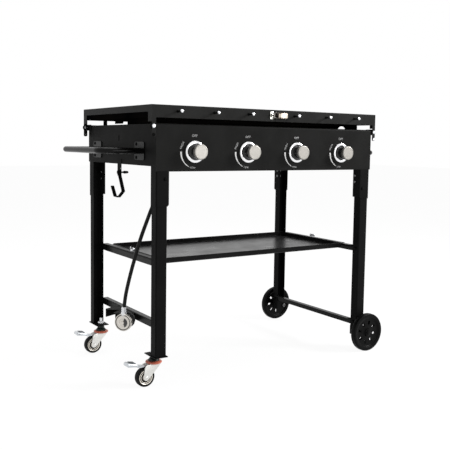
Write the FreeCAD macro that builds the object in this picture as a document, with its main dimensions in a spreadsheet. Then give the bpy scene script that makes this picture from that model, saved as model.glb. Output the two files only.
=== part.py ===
import FreeCAD, Part
import math
import os
import re
import Sketcher

# Outdoor gas griddle station, in millimetres. +Z is up, +X runs along the width to the viewer's right, and
# the control panel faces -Y. The origin is on the floor, below the middle of the burner box.

os.makedirs("parts", exist_ok=True)
doc = FreeCAD.newDocument("griddle_station")
V = FreeCAD.Vector

SIZES = [
    ("sheet", 1.5, "thickness of the body's steel sheet"),
    ("body_width", 930, "burner box, over the side panels"),
    ("body_depth", 551, "burner box, over the front and back panels"),
    ("panel_top", 863, "upper edge of the control panel"),
    ("panel_height", 153, "control panel"),
    ("side_rise", 16, "lower edge of the side and back panels above the control panel's"),
    ("panel_lip", 20, "folded edges of the panels"),
    ("big_bend", 6, "outer radius of the control panel's upper fold"),
    ("small_bend", 2.5, "outer radius of the other folds"),
    ("sleeve_sheet", 2, "thickness of the leg sleeves"),
    ("sleeve_width", 48, "leg sleeve, along X"),
    ("sleeve_depth", 38, "leg sleeve, along Y"),
    ("sleeve_below", 128, "leg sleeves below the side panels"),
    ("leg_sheet", 2, "thickness of the legs"),
    ("leg_width", 40, "leg, along X"),
    ("leg_depth", 33, "leg, along Y"),
    ("left_leg_bottom", 107, "lower end of the legs over the casters"),
    ("right_leg_bottom", 58, "lower end of the legs at the wheels"),
    ("bolt_radius", 3, "shank of the frame bolts"),
    ("bolt_play", 0.25, "clearance round the frame bolts"),
    ("head_radius", 6, "head of the frame bolts"),
    ("head_height", 3.5, "head of the frame bolts"),
    ("bar_sheet", 2, "thickness of the cross bars"),
    ("bar_height", 24, "cross bars"),
    ("bar_flange", 20, "upper flange of the cross bars"),
    ("tray_bar_top", 415, "top of the bars under the tray"),
    ("left_bar_top", 205, "top of the left cross bar"),
    ("right_bar_top", 122, "top of the right cross bar"),
    ("tray_sheet", 1.5, "thickness of the tray"),
    ("tray_height", 18, "walls of the tray"),
    ("tray_depth", 396, "tray, along Y"),
    ("tray_gap", 1.5, "gap between the tray's wall and the bar"),
    ("tray_corner", 12, "outer corner radius of the tray"),
    ("shelf_skirt", 40.5, "height of the shelves' front and back skirts"),
    ("shelf_end", 22.5, "height of the shelves' end flanges"),
    ("shelf_out", 17, "shelves beyond the side panels"),
    ("shelf_front", 4, "shelves beyond the control panel"),
    ("shelf_back", 9, "shelves beyond the back panel"),
    ("shelf_seam", 1.5, "gap between the two shelves"),
    ("shelf_chamfer", 12, "cut corners of the skirts"),
    ("ear_width", 14, "corner ears of the shelves"),
    ("ear_depth", 28, "side leg of the ears"),
    ("pivot_out", 11, "shelf pivots beyond the side panels"),
    ("pivot_radius", 3.5, "shank of the pivot bolts"),
    ("pivot_play", 0.05, "clearance round the pivot bolts"),
    ("pivot_head", 6.5, "head of the pivot bolts"),
    ("stop_drop", 27, "stop studs below the pivots"),
    ("bracket_sheet", 2, "thickness of the pivot brackets"),
    ("bracket_gap", 1.5, "gap between a bracket and the ear"),
    ("bracket_radius", 11, "rounded end of the brackets"),
    ("bracket_leg", 30, "leg of the brackets along the side panel"),
    ("peg_radius", 3, "rod of the shelf pegs"),
    ("peg_length", 26, "rod of the shelf pegs"),
    ("peg_tip", 5.5, "rounded tip of the pegs"),
    ("peg_drop", 19.5, "pegs below the shelf's face"),
    ("plate_lift", 18, "griddle plate above the control panel"),
    ("plate_out", 14, "griddle plate beyond the side panels"),
    ("plate_back", 5.5, "griddle plate beyond the back panel"),
    ("plate_steel", 3.5, "thickness of the griddle plate"),
    ("plate_wall", 2.5, "thickness of the plate's rim"),
    ("plate_rim", 18, "height of the plate's rim"),
    ("plate_corner", 10, "corner radius of the griddle plate"),
    ("guard_gap", 2, "gap between the wind guards and the panels"),
    ("foot_radius", 7, "feet of the griddle plate"),
    ("chute_width", 28, "drain chute"),
    ("bezel_radius", 36.5, "chrome ring round a knob"),
    ("bezel_bore", 28.5, "opening of the ring"),
    ("bezel_slope", 2, "slope of the ring's outer and inner walls"),
    ("bezel_height", 9, "chrome ring"),
    ("knob_radius", 26.5, "widest part of a knob"),
    ("knob_face", 25, "front face of a knob"),
    ("knob_reach", 45, "front face beyond the panel"),
    ("knob_gap", 5, "knob's back from the panel, for the push"),
    ("stem_radius", 4, "valve stem"),
    ("stem_play", 0.05, "clearance of the stem in the knob"),
    ("knob_left", 140, "first knob from the box's left side"),
    ("knob_right", 155.5, "last knob from the box's right side"),
    ("knob_drop", 89, "axis of the knobs below the panel's upper edge"),
    ("manifold_radius", 10, "gas manifold"),
    ("manifold_back", 52, "manifold's axis behind the control panel's face"),
    ("burner_radius", 12.5, "burner tubes"),
    ("burner_half", 35, "half the distance between a burner's two legs"),
    ("burner_front", 70, "burner tubes behind the control panel's face"),
    ("burner_back", 60, "burner tubes before the back panel's face"),
    ("handle_reach", 135, "loop handles beyond the side panels"),
    ("handle_radius", 10, "tube of the loop handles"),
    ("handle_bend", 40, "bend of the loop handles"),
    ("foot_plate", 3, "end plates of the handles"),
    ("foot_plate_long", 70, "end plates, along Y"),
    ("foot_plate_tall", 60, "end plates, along Z"),
    ("screw_spread", 22, "handle screws from the tube's axis"),
    ("wheel_radius", 73.6, "fixed wheels"),
    ("wheel_width", 22, "fixed wheels"),
    ("wheel_rim", 15.6, "depth of the fixed wheels' rim"),
    ("wheel_web", 9, "thickness of the fixed wheels' web"),
    ("wheel_hub", 15, "hub of the fixed wheels"),
    ("slot_width", 11, "slots of the fixed wheels"),
    ("wheel_gap", 8.5, "fixed wheels from the box's face"),
    ("axle_radius", 4, "axle bolts"),
    ("axle_play", 0.05, "clearance of the wheels on their axles"),
    ("axle_inset", 10, "axle bolts from the box's side face"),
    ("caster_radius", 32.6, "caster wheels"),
    ("caster_width", 22, "caster wheels"),
    ("caster_trail", 33, "caster axle from the stem"),
    ("stem_x", 24.5, "caster stems from the box's side face"),
    ("stem_y", 56, "caster stems from the box's front or back face"),
    ("caster_stem", 6, "threaded stem"),
    ("caster_plate", 3, "plates under the left legs"),
    ("caster_plate_long", 76, "plates under the left legs, along Y"),
    ("fork_top", 76, "upper face of the caster forks"),
    ("fork_sheet", 2.5, "thickness of the caster forks"),
    ("pedal_height", 69.5, "pivot of the brake pedals"),
    ("fork_gap", 1.5, "gap between a fork and its wheel"),
    ("hook_sheet", 3, "tank hook's strip"),
    ("hook_width", 12, "tank hook's strip"),
    ("hook_gap", 2.3, "tank hook's lug off the side panel"),
    ("hook_place", -3, "tank hook's pivot, along Y"),
    ("latch_reach", 52, "latch base, from the shelves' seam"),
    ("latch_pin", 1.25, "pin of the latch lever"),
    ("latch_link", 1, "pin of the latch hook"),
    ("hook_pin", 3, "thumb screw of the tank hook"),
    ("tab_sheet", 2, "tab that carries the tank hook"),
    ("hose_radius", 6.25, "gas hose"),
    ("cup_width", 90, "grease cup"),
    ("cup_depth", 36, "grease cup, along Y"),
    ("cup_height", 58, "grease cup"),
]
VALUES = dict((alias, float(value)) for alias, value, note in SIZES)

# Heights and places that follow from the sizes above.
FOLLOWS = {
    "panel_bottom": "(panel_top-panel_height)",
    "side_bottom": "(panel_bottom+side_rise)",
    "sleeve_bottom": "(side_bottom-sleeve_below)",
    "sleeve_top": "(panel_top-13)",
    "leg_length": "(sleeve_top-10-left_leg_bottom)",
    "web_bolt_rise": "(leg_length-154)",
    "flange_bolt_high": "(sleeve_bottom+88)",
    "flange_bolt_low": "(sleeve_bottom+64)",
    "tray_floor": "(tray_bar_top-15)",
    "tray_rim": "(tray_floor+tray_height)",
    "plate_bottom": "(panel_top+plate_lift)",
    "shelf_top": "(plate_bottom+shelf_skirt)",
    "pivot_height": "(panel_top-9)",
    "ear_bottom": "(pivot_height-33)",
    "latch_height": "(shelf_top-19.5)",
    "knob_height": "(panel_top-knob_drop)",
    "knob_first": "(knob_left-body_width/2)",
    "knob_step": "((body_width-knob_left-knob_right)/3)",
    "handle_height": "(panel_top-knob_drop)",
    "handle_front": "(115.5-body_depth/2)",
    "handle_back": "(body_depth/2-87.5)",
    "burner_height": "(panel_top-51)",
    "foot_place": "(body_depth/2-125.5)",
    "chute_end": "(body_depth/2+30.5)",
    "cup_top": "(panel_top-11)",
    "hook_height": "(side_bottom-29)",
}

sheet = doc.addObject("Spreadsheet::Sheet", "Sizes")
for row, (alias, value, note) in enumerate(SIZES, start=1):
    sheet.set("A%d" % row, alias)
    sheet.set("B%d" % row, str(value))
    sheet.setAlias("B%d" % row, alias)
    sheet.set("C%d" % row, note)
doc.recompute()

WORD = re.compile(r"[a-z][a-z0-9_]*")


def spelled_out(text):
    """The text with each size that follows from others written out."""
    text = str(text)
    while any(word in FOLLOWS for word in WORD.findall(text)):
        text = WORD.sub(lambda m: FOLLOWS.get(m.group(), m.group()), text)
    return text


def bound(text):
    """The text as an expression on the sheet's cells."""
    return WORD.sub(lambda m: "Sizes." + m.group() if m.group() in VALUES else m.group(), spelled_out(text))


def number(text):
    """The text's value in millimetres, from the same cells."""
    plain = WORD.sub(lambda m: "(%r)" % VALUES[m.group()] if m.group() in VALUES else m.group(),
                     spelled_out(text))
    return FreeCAD.Units.Quantity(plain).Value


# Places that many pieces share. Each is measured from the middle of the box.
FRONT = "(-body_depth/2)"
BACK = "(body_depth/2)"
SIDE = "(body_width/2)"
SLEEVE_OUT = "(body_width/2-sheet)"
LEG_OUT = "(body_width/2-sheet-sleeve_sheet)"
LEG_IN = "(body_width/2-sheet-sleeve_sheet-leg_width)"
BAR_IN = "(body_width/2-sheet-sleeve_sheet-leg_width+leg_sheet)"
BAR_OUT = "(body_width/2-sheet-sleeve_sheet-leg_width+leg_sheet+bar_sheet)"
WEB_Y = "(body_depth/2-sheet-sleeve_sheet)"
LEG_EDGE = "(body_depth/2-sheet-sleeve_sheet-leg_depth)"
SHELF_SIDE = "(body_width/2+shelf_out)"
SHELF_Y0 = "(-body_depth/2-shelf_front)"
SHELF_Y1 = "(body_depth/2+shelf_back)"
SHELF_LOW = "(shelf_top-shelf_skirt)"
PIVOT_X = "(body_width/2+pivot_out)"
STOP_Z = "(pivot_height-stop_drop)"

parts = {}


def signed(sign, text):
    return "%d*(%s)" % (sign, text)


# Helpers that draw a sketch whose sizes are bound to the sheet.

def new_body(node):
    body = doc.addObject("PartDesign::Body", node)
    body.Label = node
    parts[node] = body
    return body


def sketch(body, plane, at="0"):
    """An empty sketch on an origin plane of the body, moved along the world axis that the plane faces."""
    origin = next(f for f in body.Origin.OriginFeatures if f.Role == plane + "_Plane")
    drawing = body.newObject("Sketcher::SketchObject", "outline")
    drawing.AttachmentSupport = (origin, [""])
    drawing.MapMode = "FlatFace"
    offset = signed(-1, at) if plane == "XZ" else at
    drawing.setExpression("AttachmentOffset.Base.z", bound(offset))
    return drawing


def outline(drawing, points):
    """A closed outline whose corners are bound to the sheet."""
    spots = [V(number(a), number(b), 0) for a, b in points]
    lines = []
    for i, spot in enumerate(spots):
        lines.append(drawing.addGeometry(Part.LineSegment(spot, spots[(i + 1) % len(spots)])))
    for i, line in enumerate(lines):
        following = lines[(i + 1) % len(lines)]
        drawing.addConstraint(Sketcher.Constraint("Coincident", line, 2, following, 1))
    for line, corner in zip(lines, points):
        for kind, text in zip(("DistanceX", "DistanceY"), corner):
            index = drawing.addConstraint(Sketcher.Constraint(kind, line, 1, number(text)))
            drawing.setExpression("Constraints[%d]" % index, bound(text))
    return drawing


def box_outline(drawing, a0, b0, a1, b1):
    return outline(drawing, [(a0, b0), (a1, b0), (a1, b1), (a0, b1)])


def rounded_box(drawing, a0, b0, a1, b1, radius):
    """A rectangle with rounded corners; the first corner is the lower left one."""
    r = "(%s)" % radius
    left, right, low, high = a0 + "+" + r, a1 + "-" + r, b0 + "+" + r, b1 + "-" + r
    runs = [((left, b0), (right, b0)), ((a1, low), (a1, high)), ((right, b1), (left, b1)),
            ((a0, high), (a0, low))]
    centres = [(right, low), (right, high), (left, high), (left, low)]
    lines, arcs = [], []
    for start, end in runs:
        spots = [V(number(a), number(b), 0) for a, b in (start, end)]
        lines.append(drawing.addGeometry(Part.LineSegment(*spots)))
    for index, (a, b) in enumerate(centres):
        circle = Part.Circle(V(number(a), number(b), 0), V(0, 0, 1), number(radius))
        begin = (index - 1) * math.pi / 2
        arcs.append(drawing.addGeometry(Part.ArcOfCircle(circle, begin, begin + math.pi / 2)))
    for index in range(4):
        for geometry, point, (a, b) in ((lines[index], 1, runs[index][0]), (lines[index], 2, runs[index][1])):
            for kind, text in (("DistanceX", a), ("DistanceY", b)):
                spot = drawing.addConstraint(Sketcher.Constraint(kind, geometry, point, number(text)))
                drawing.setExpression("Constraints[%d]" % spot, bound(text))
        drawing.addConstraint(Sketcher.Constraint("Coincident", arcs[index], 1, lines[index], 2))
        drawing.addConstraint(Sketcher.Constraint("Coincident", arcs[index], 2, lines[(index + 1) % 4], 1))
        spot = drawing.addConstraint(Sketcher.Constraint("Radius", arcs[index], number(radius)))
        drawing.setExpression("Constraints[%d]" % spot, bound(radius))
    return drawing


def ring(drawing, a, b, radius):
    circle = Part.Circle(V(number(a), number(b), 0), V(0, 0, 1), number(radius))
    geometry = drawing.addGeometry(circle)
    for kind, text in (("DistanceX", a), ("DistanceY", b)):
        index = drawing.addConstraint(Sketcher.Constraint(kind, geometry, 3, number(text)))
        drawing.setExpression("Constraints[%d]" % index, bound(text))
    index = drawing.addConstraint(Sketcher.Constraint("Radius", geometry, number(radius)))
    drawing.setExpression("Constraints[%d]" % index, bound(radius))
    return drawing


def pad(body, drawing, length, way=1):
    """Adds material from the sketch, towards the positive or negative world axis."""
    feature = body.newObject("PartDesign::Pad", "pad")
    feature.Profile = drawing
    feature.setExpression("Length", bound(length))
    faces_back = "XZ" in drawing.AttachmentSupport[0][0].Role
    feature.Reversed = (way > 0) == faces_back
    return feature


def pocket(body, drawing, length, way=1):
    feature = body.newObject("PartDesign::Pocket", "pocket")
    feature.Profile = drawing
    feature.setExpression("Length", bound(length))
    faces_back = "XZ" in drawing.AttachmentSupport[0][0].Role
    feature.Reversed = (way > 0) != faces_back
    return feature


def cut_through(body, drawing):
    feature = body.newObject("PartDesign::Pocket", "cut")
    feature.Profile = drawing
    feature.Type = "ThroughAll"
    feature.Midplane = True
    return feature


def turn(body, drawing, axis="H_Axis"):
    feature = body.newObject("PartDesign::Revolution", "turned")
    feature.Profile = drawing
    feature.ReferenceAxis = (drawing, [axis])
    feature.Angle = 360
    return feature


def straight_edges(shape, axis, test):
    """Names of the straight edges along an axis whose middles pass the test."""
    names = []
    for index, edge in enumerate(shape.Edges, start=1):
        if edge.Curve.TypeId != "Part::GeomLine":
            continue
        along = edge.tangentAt(edge.FirstParameter)
        if abs(along.dot(axis)) > 0.999 and test(edge.CenterOfMass):
            names.append("Edge%d" % index)
    return names


def close_to(value, text):
    return abs(value - number(text)) < 0.05


def soften(body, axis, test, radius):
    """Rounds the chosen straight edges of the body's last feature."""
    doc.recompute()
    last = body.Tip
    names = straight_edges(last.Shape, axis, test)
    feature = body.newObject("PartDesign::Fillet", "rounded")
    feature.Base = (last, names)
    feature.setExpression("Radius", bound(radius))
    return feature


def place(thing, x="0", y="0", z="0", rotation=None):
    if rotation is not None:
        thing.Placement = FreeCAD.Placement(V(number(x), number(y), number(z)), rotation)
    for axis, text in zip("xyz", (x, y, z)):
        thing.setExpression("Placement.Base." + axis, bound(text))
    return thing


X_AXIS, Y_AXIS, Z_AXIS = V(1, 0, 0), V(0, 1, 0), V(0, 0, 1)
TURNS = {
    "+x": FreeCAD.Rotation(Z_AXIS, X_AXIS),
    "-x": FreeCAD.Rotation(Z_AXIS, V(-1, 0, 0)),
    "+y": FreeCAD.Rotation(Z_AXIS, Y_AXIS),
    "-y": FreeCAD.Rotation(Z_AXIS, V(0, -1, 0)),
    "+z": FreeCAD.Rotation(),
    "-z": FreeCAD.Rotation(Z_AXIS, V(0, 0, -1)),
}


OPPOSITE = {"+x": "-x", "-x": "+x", "+y": "-y", "-y": "+y", "+z": "-z", "-z": "+z"}


def step(direction, amount):
    """The three offsets of a move along a named direction."""
    moves = {"x": "0", "y": "0", "z": "0"}
    moves[direction[1]] = signed(1 if direction[0] == "+" else -1, amount)
    return [moves["x"], moves["y"], moves["z"]]


def rod(direction, start, radius, length):
    piece = doc.addObject("Part::Cylinder", "rod")
    piece.setExpression("Radius", bound(radius))
    piece.setExpression("Height", bound(length))
    return place(piece, *start, rotation=TURNS[direction])


def hexagon(direction, start, radius, length):
    piece = doc.addObject("Part::Prism", "hexagon")
    piece.Polygon = 6
    piece.setExpression("Circumradius", bound(radius))
    piece.setExpression("Height", bound(length))
    return place(piece, *start, rotation=TURNS[direction])


def block(x0, y0, z0, x1, y1, z1):
    """A box between two corners, given from low to high."""
    piece = doc.addObject("Part::Box", "block")
    for side, low, high in zip(("Length", "Width", "Height"), (x0, y0, z0), (x1, y1, z1)):
        piece.setExpression(side, bound("(%s)-(%s)" % (high, low)))
    return place(piece, x0, y0, z0)


def joined(pieces, name="joined"):
    feature = doc.addObject("Part::MultiFuse", name)
    feature.Shapes = pieces
    feature.Refine = True
    return feature


def less(base, tool, name="less"):
    feature = doc.addObject("Part::Cut", name)
    feature.Base = base
    feature.Tool = tool
    feature.Refine = True
    return feature


def group(node, pieces):
    """One node that holds several separate solids."""
    feature = doc.addObject("Part::Compound", node)
    feature.Links = pieces
    feature.Label = node
    parts[node] = feature
    return feature


def named(node, feature):
    feature.Label = node
    parts[node] = feature
    return feature


def moved(start, direction, amount):
    return ["(%s)+(%s)" % pair for pair in zip(start, step(direction, amount))]


def bolt(direction, face, grip, radius="bolt_radius", head="head_radius", height="head_height", nut=True,
         round_head=False):
    """A bolt whose head sits on a face. The direction is the way its shank goes."""
    back = OPPOSITE[direction]
    top = rod(back, face, head, height) if round_head else hexagon(back, face, head, height)
    pieces = [top, rod(direction, face, radius, grip)]
    if nut:
        pieces.append(hexagon(direction, moved(face, direction, "(%s)-4" % grip), "(%s)+3" % radius, "4"))
    return joined(pieces)


# Control panel and the other walls of the burner box.

def make_front_panel():
    body = new_body("front_panel")
    y0, y1 = FRONT, FRONT + "+sheet"
    profile = sketch(body, "YZ", signed(-1, SIDE))
    outline(profile, [
        (y0, "panel_bottom"), (FRONT + "+panel_lip", "panel_bottom"),
        (FRONT + "+panel_lip", "panel_bottom+sheet"), (y1, "panel_bottom+sheet"),
        (y1, "panel_top-sheet"), (FRONT + "+panel_lip", "panel_top-sheet"),
        (FRONT + "+panel_lip", "panel_top"), (y0, "panel_top"),
    ])
    pad(body, profile, "body_width")
    soften(body, X_AXIS, lambda c: close_to(c.y, y0) and close_to(c.z, "panel_top"), "big_bend")
    soften(body, X_AXIS, lambda c: close_to(c.y, y1) and close_to(c.z, "panel_top-sheet"), "big_bend-sheet")
    soften(body, X_AXIS, lambda c: close_to(c.y, y0) and close_to(c.z, "panel_bottom"), "small_bend")
    soften(body, X_AXIS, lambda c: close_to(c.y, y1) and close_to(c.z, "panel_bottom+sheet"),
           "small_bend-sheet")
    for sign in (-1, 1):
        notch = sketch(body, "XY", "panel_bottom-1")
        box_outline(notch, signed(sign, SLEEVE_OUT + "-sleeve_width-1"), y1,
                    signed(sign, SIDE + "+1"), FRONT + "+panel_lip+1")
        pocket(body, notch, "big_bend+4")
    holes = sketch(body, "XZ", y0)
    for index in range(4):
        ring(holes, "knob_first+%d*knob_step" % index, "knob_height", "stem_radius+3")
    cut_through(body, holes)


def make_side_panel(node, sign):
    body = new_body(node)
    low, high = "side_bottom", "panel_top-sheet"
    profile = sketch(body, "XZ", FRONT + "+sheet")
    face, inner, lip = signed(sign, SIDE), signed(sign, SIDE + "-sheet"), signed(sign, SIDE + "-panel_lip")
    outline(profile, [
        (face, low), (face, high), (lip, high), (lip, high + "-sheet"), (inner, high + "-sheet"),
        (inner, low + "+sheet"), (lip, low + "+sheet"), (lip, low),
    ])
    pad(body, profile, "body_depth-2*sheet")
    soften(body, Y_AXIS, lambda c: close_to(c.x, face) and close_to(c.z, low), "small_bend")
    soften(body, Y_AXIS, lambda c: close_to(c.x, inner) and close_to(c.z, low + "+sheet"),
           "small_bend-sheet")
    corners = sketch(body, "XY")
    for end_sign in (-1, 1):
        box_outline(corners, signed(sign, SIDE + "-panel_lip-1"), signed(end_sign, BACK + "+1"), inner,
                    signed(end_sign, BACK + "-sheet-sleeve_depth-1"))
    cut_through(body, corners)
    fold = sketch(body, "YZ")
    for end_sign in (-1, 1):
        edge = signed(end_sign, BACK + "-sheet+1")
        outline(fold, [(edge, high + "-big_bend-1"), (edge, high + "+1"),
                       (signed(end_sign, BACK + "-sheet-big_bend-1"), high + "+1")])
    cut_through(body, fold)
    if sign < 0:
        tab = sketch(body, "YZ", signed(-1, SIDE))
        box_outline(tab, "hook_place-15", "hook_height-12", "hook_place+15", "side_bottom+16")
        ring(tab, "hook_place", "hook_height", "hook_pin+bolt_play")
        ring(tab, "hook_place-11", "hook_height+14", "hook_pin")
        pad(body, tab, "tab_sheet", way=-1)
    slot = sketch(body, "YZ")
    slot_low, slot_high = "handle_height+31", "handle_height+52"
    box_outline(slot, "0.5", slot_low, "7.5", slot_high)
    for place_y in ("handle_front", "handle_back"):
        for rise in (-1, 1):
            ring(slot, place_y + "+screw_spread", "handle_height+%d*screw_spread" % rise,
                 "bolt_radius+bolt_play")
    cut_through(body, slot)
    soften(body, X_AXIS, lambda c: close_to(c.z, slot_low) or close_to(c.z, slot_high), "3")


def make_back_panel():
    body = new_body("back_panel")
    y0, y1 = BACK, BACK + "-sheet"
    profile = sketch(body, "YZ", signed(-1, SIDE))
    outline(profile, [
        (y0, "side_bottom"), (BACK + "-panel_lip", "side_bottom"),
        (BACK + "-panel_lip", "side_bottom+sheet"), (y1, "side_bottom+sheet"),
        (y1, "panel_top-sheet"), (BACK + "-panel_lip", "panel_top-sheet"),
        (BACK + "-panel_lip", "panel_top"), (y0, "panel_top"),
    ])
    pad(body, profile, "body_width")
    soften(body, X_AXIS, lambda c: close_to(c.y, y0) and close_to(c.z, "panel_top"), "big_bend")
    soften(body, X_AXIS, lambda c: close_to(c.y, y1) and close_to(c.z, "panel_top-sheet"), "big_bend-sheet")
    notch = sketch(body, "XY", "side_bottom-1")
    for sign in (-1, 1):
        box_outline(notch, signed(sign, SLEEVE_OUT + "-sleeve_width-1"), y1,
                    signed(sign, SIDE + "+1"), BACK + "-panel_lip-1")
    pocket(body, notch, "small_bend+4")
    slots = sketch(body, "XZ", y0)
    for index in range(9):
        middle = (index - 4) * 92
        box_outline(slots, "%d" % (middle - 30), "side_bottom+36", "%d" % (middle + 30), "side_bottom+44")
    cut_through(body, slots)
    rails = sketch(body, "XZ", y0)
    wide = "cup_width/2+8"
    for sign in (-1, 1):
        outline(rails, [
            (signed(sign, wide), "cup_top-3"), (signed(sign, wide + "+sheet"), "cup_top-3"),
            (signed(sign, wide + "+sheet"), "cup_top+6"), (signed(sign, "cup_width/2+1"), "cup_top+6"),
            (signed(sign, "cup_width/2+1"), "cup_top+4.5"), (signed(sign, wide), "cup_top+4.5"),
            (signed(sign, wide), "cup_top-1.5"), (signed(sign, "cup_width/2+1"), "cup_top-1.5"),
            (signed(sign, "cup_width/2+1"), "cup_top-3"),
        ])
    pad(body, rails, "cup_depth+4")


# Legs: an upper sleeve in each corner of the box, and a smaller channel inside it.

def channel(body, sign, end, out, web, width, depth, steel, low, height):
    """A C channel that opens towards the middle of the station."""
    a, b = signed(sign, out), signed(sign, "%s-%s" % (out, width))
    a_in, b_in = signed(sign, "%s-%s" % (out, steel)), signed(sign, "%s-%s+%s" % (out, width, steel))
    w, w_in = signed(end, web), signed(end, "%s-%s" % (web, steel))
    edge = signed(end, "%s-%s" % (web, depth))
    profile = sketch(body, "XY", low)
    outline(profile, [(a, w), (b, w), (b, edge), (b_in, edge), (b_in, w_in), (a_in, w_in), (a_in, edge),
                      (a, edge)])
    pad(body, profile, height)
    soften(body, Z_AXIS, lambda c: close_to(c.y, w), "small_bend+%s" % steel)
    soften(body, Z_AXIS, lambda c: close_to(c.y, w_in), "small_bend")


def flange_holes(body, end):
    holes = sketch(body, "YZ")
    for rise in ("flange_bolt_high", "flange_bolt_low"):
        ring(holes, signed(end, WEB_Y + "-24"), rise, "bolt_radius+bolt_play")
    return holes


def one_side(body, drawing, sign, reach):
    """Cuts only the inner flange: the sketch is moved there and cuts a short way."""
    drawing.setExpression("AttachmentOffset.Base.z", bound(signed(sign, reach)))
    pocket(body, drawing, "8", way=sign)


def make_sleeve(node, sign, end, web_bolt):
    body = new_body(node)
    channel(body, sign, end, SLEEVE_OUT, "(body_depth/2-sheet)", "sleeve_width", "sleeve_depth",
            "sleeve_sheet", "sleeve_bottom", "sleeve_top-sleeve_bottom")
    one_side(body, flange_holes(body, end), sign, SLEEVE_OUT + "-sleeve_width-1")
    web = sketch(body, "XZ")
    ring(web, signed(sign, LEG_OUT + "-31.5"), web_bolt, "bolt_radius+bolt_play")
    corner = signed(sign, SLEEVE_OUT + "-sleeve_width-1")
    outline(web, [(corner, "sleeve_bottom-1"), (signed(sign, SLEEVE_OUT + "-sleeve_width+8"),
                                                "sleeve_bottom-1"), (corner, "sleeve_bottom+8")])
    cut_through(body, web)


def make_leg(node, sign, end, low, bar_top):
    """A leg with its foot welded on: a plate for the caster, or a box for the wheel's axle."""
    body = new_body(node)
    channel(body, sign, end, LEG_OUT, WEB_Y, "leg_width", "leg_depth", "leg_sheet", low, "leg_length")
    holes = flange_holes(body, end)
    for top in ("tray_bar_top", bar_top):
        ring(holes, signed(end, WEB_Y + "-18"), "%s-bar_height/2" % top, "bolt_radius+bolt_play")
    one_side(body, holes, sign, LEG_IN + "-1")
    web = sketch(body, "XZ")
    ring(web, signed(sign, LEG_OUT + "-31.5"), "%s+web_bolt_rise" % low, "bolt_radius+bolt_play")
    cut_through(body, web)
    if sign < 0:
        foot = sketch(body, "XY", low)
        box_outline(foot, signed(-1, SIDE), signed(end, BACK), signed(-1, SIDE + "-sleeve_width"),
                    signed(end, BACK + "-caster_plate_long"))
        ring(foot, signed(-1, SIDE + "-stem_x"), signed(end, BACK + "-stem_y"), "caster_stem+bolt_play")
        pad(body, foot, "caster_plate", way=-1)
    else:
        edge = signed(end, LEG_EDGE)
        plate = sketch(body, "XZ", edge)
        box_outline(plate, signed(sign, LEG_IN), low, signed(sign, LEG_OUT), "%s+36" % low)
        pad(body, plate, "leg_sheet", way=-end)
        hole = sketch(body, "XZ")
        ring(hole, signed(sign, SIDE + "-axle_inset"), "wheel_radius", "axle_radius+bolt_play")
        cut_through(body, hole)


def make_bar(node, sign, top):
    """A cross bar between two legs: an angle whose flange is cut back inside the legs."""
    body = new_body(node)
    inside, outside = signed(sign, BAR_IN), signed(sign, BAR_OUT)
    lip = signed(sign, BAR_OUT + "-bar_flange")
    long = WEB_Y + "-leg_sheet-small_bend-1"
    profile = sketch(body, "XZ", signed(-1, long))
    outline(profile, [(outside, top), (lip, top), (lip, top + "-bar_sheet"), (inside, top + "-bar_sheet"),
                      (inside, top + "-bar_height"), (outside, top + "-bar_height")])
    pad(body, profile, "2*(%s)" % long)
    soften(body, Y_AXIS, lambda c: close_to(c.x, outside) and close_to(c.z, top), "small_bend")
    ends = sketch(body, "XY", top + "-bar_height/2")
    for end in (-1, 1):
        box_outline(ends, inside, signed(end, LEG_EDGE + "-3"), signed(sign, BAR_OUT + "-bar_flange-1"),
                    signed(end, WEB_Y))
    pocket(body, ends, "bar_height", way=1)
    holes = sketch(body, "YZ")
    for end in (-1, 1):
        ring(holes, signed(end, WEB_Y + "-18"), top + "-bar_height/2", "bolt_radius+bolt_play")
    cut_through(body, holes)
    if top == "tray_bar_top":
        hole = sketch(body, "XY", top + "-bar_sheet-1")
        ring(hole, signed(sign, BAR_OUT + "-bar_flange/2"), "0", "bolt_radius+bolt_play")
        pocket(body, hole, "bar_sheet+2")


def make_tray():
    body = new_body("tray_shelf")
    pan_x = "(%s-bar_flange-tray_gap)" % BAR_OUT
    profile = sketch(body, "XY", "tray_floor")
    rounded_box(profile, signed(-1, pan_x), "-tray_depth/2", pan_x, "tray_depth/2", "tray_corner")
    pad(body, profile, "tray_rim-tray_floor")
    hollow = sketch(body, "XY", "tray_floor+tray_sheet")
    inner_x, inner_y = pan_x + "-tray_sheet", "tray_depth/2-tray_sheet"
    rounded_box(hollow, signed(-1, inner_x), signed(-1, inner_y), inner_x, inner_y, "tray_corner-tray_sheet")
    pocket(body, hollow, "tray_rim")
    lip_low, lip_high = "tray_bar_top", "tray_bar_top+tray_sheet"
    lip = sketch(body, "XY", lip_low)
    hem = sketch(body, "XY", lip_high + "-6")
    for sign in (-1, 1):
        straight = "tray_depth/2-tray_corner"
        box_outline(lip, signed(sign, inner_x), signed(-1, straight), signed(sign, BAR_OUT + "+1.8"),
                    straight)
        box_outline(hem, signed(sign, BAR_OUT + "+0.3"), signed(-1, straight), signed(sign, BAR_OUT + "+1.8"),
                    straight)
    pad(body, lip, "tray_sheet")
    pad(body, hem, "6")
    opened = sketch(body, "XY", "tray_floor+tray_sheet")
    box_outline(opened, signed(-1, inner_x + "-0.01"), "-tray_depth/4", inner_x + "-0.01", "tray_depth/4")
    pocket(body, opened, "tray_rim")
    hole = sketch(body, "XY", "tray_bar_top-1")
    for sign in (-1, 1):
        ring(hole, signed(sign, BAR_OUT + "-bar_flange/2"), "0", "bolt_radius+bolt_play")
    pocket(body, hole, "tray_sheet+2")


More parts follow.
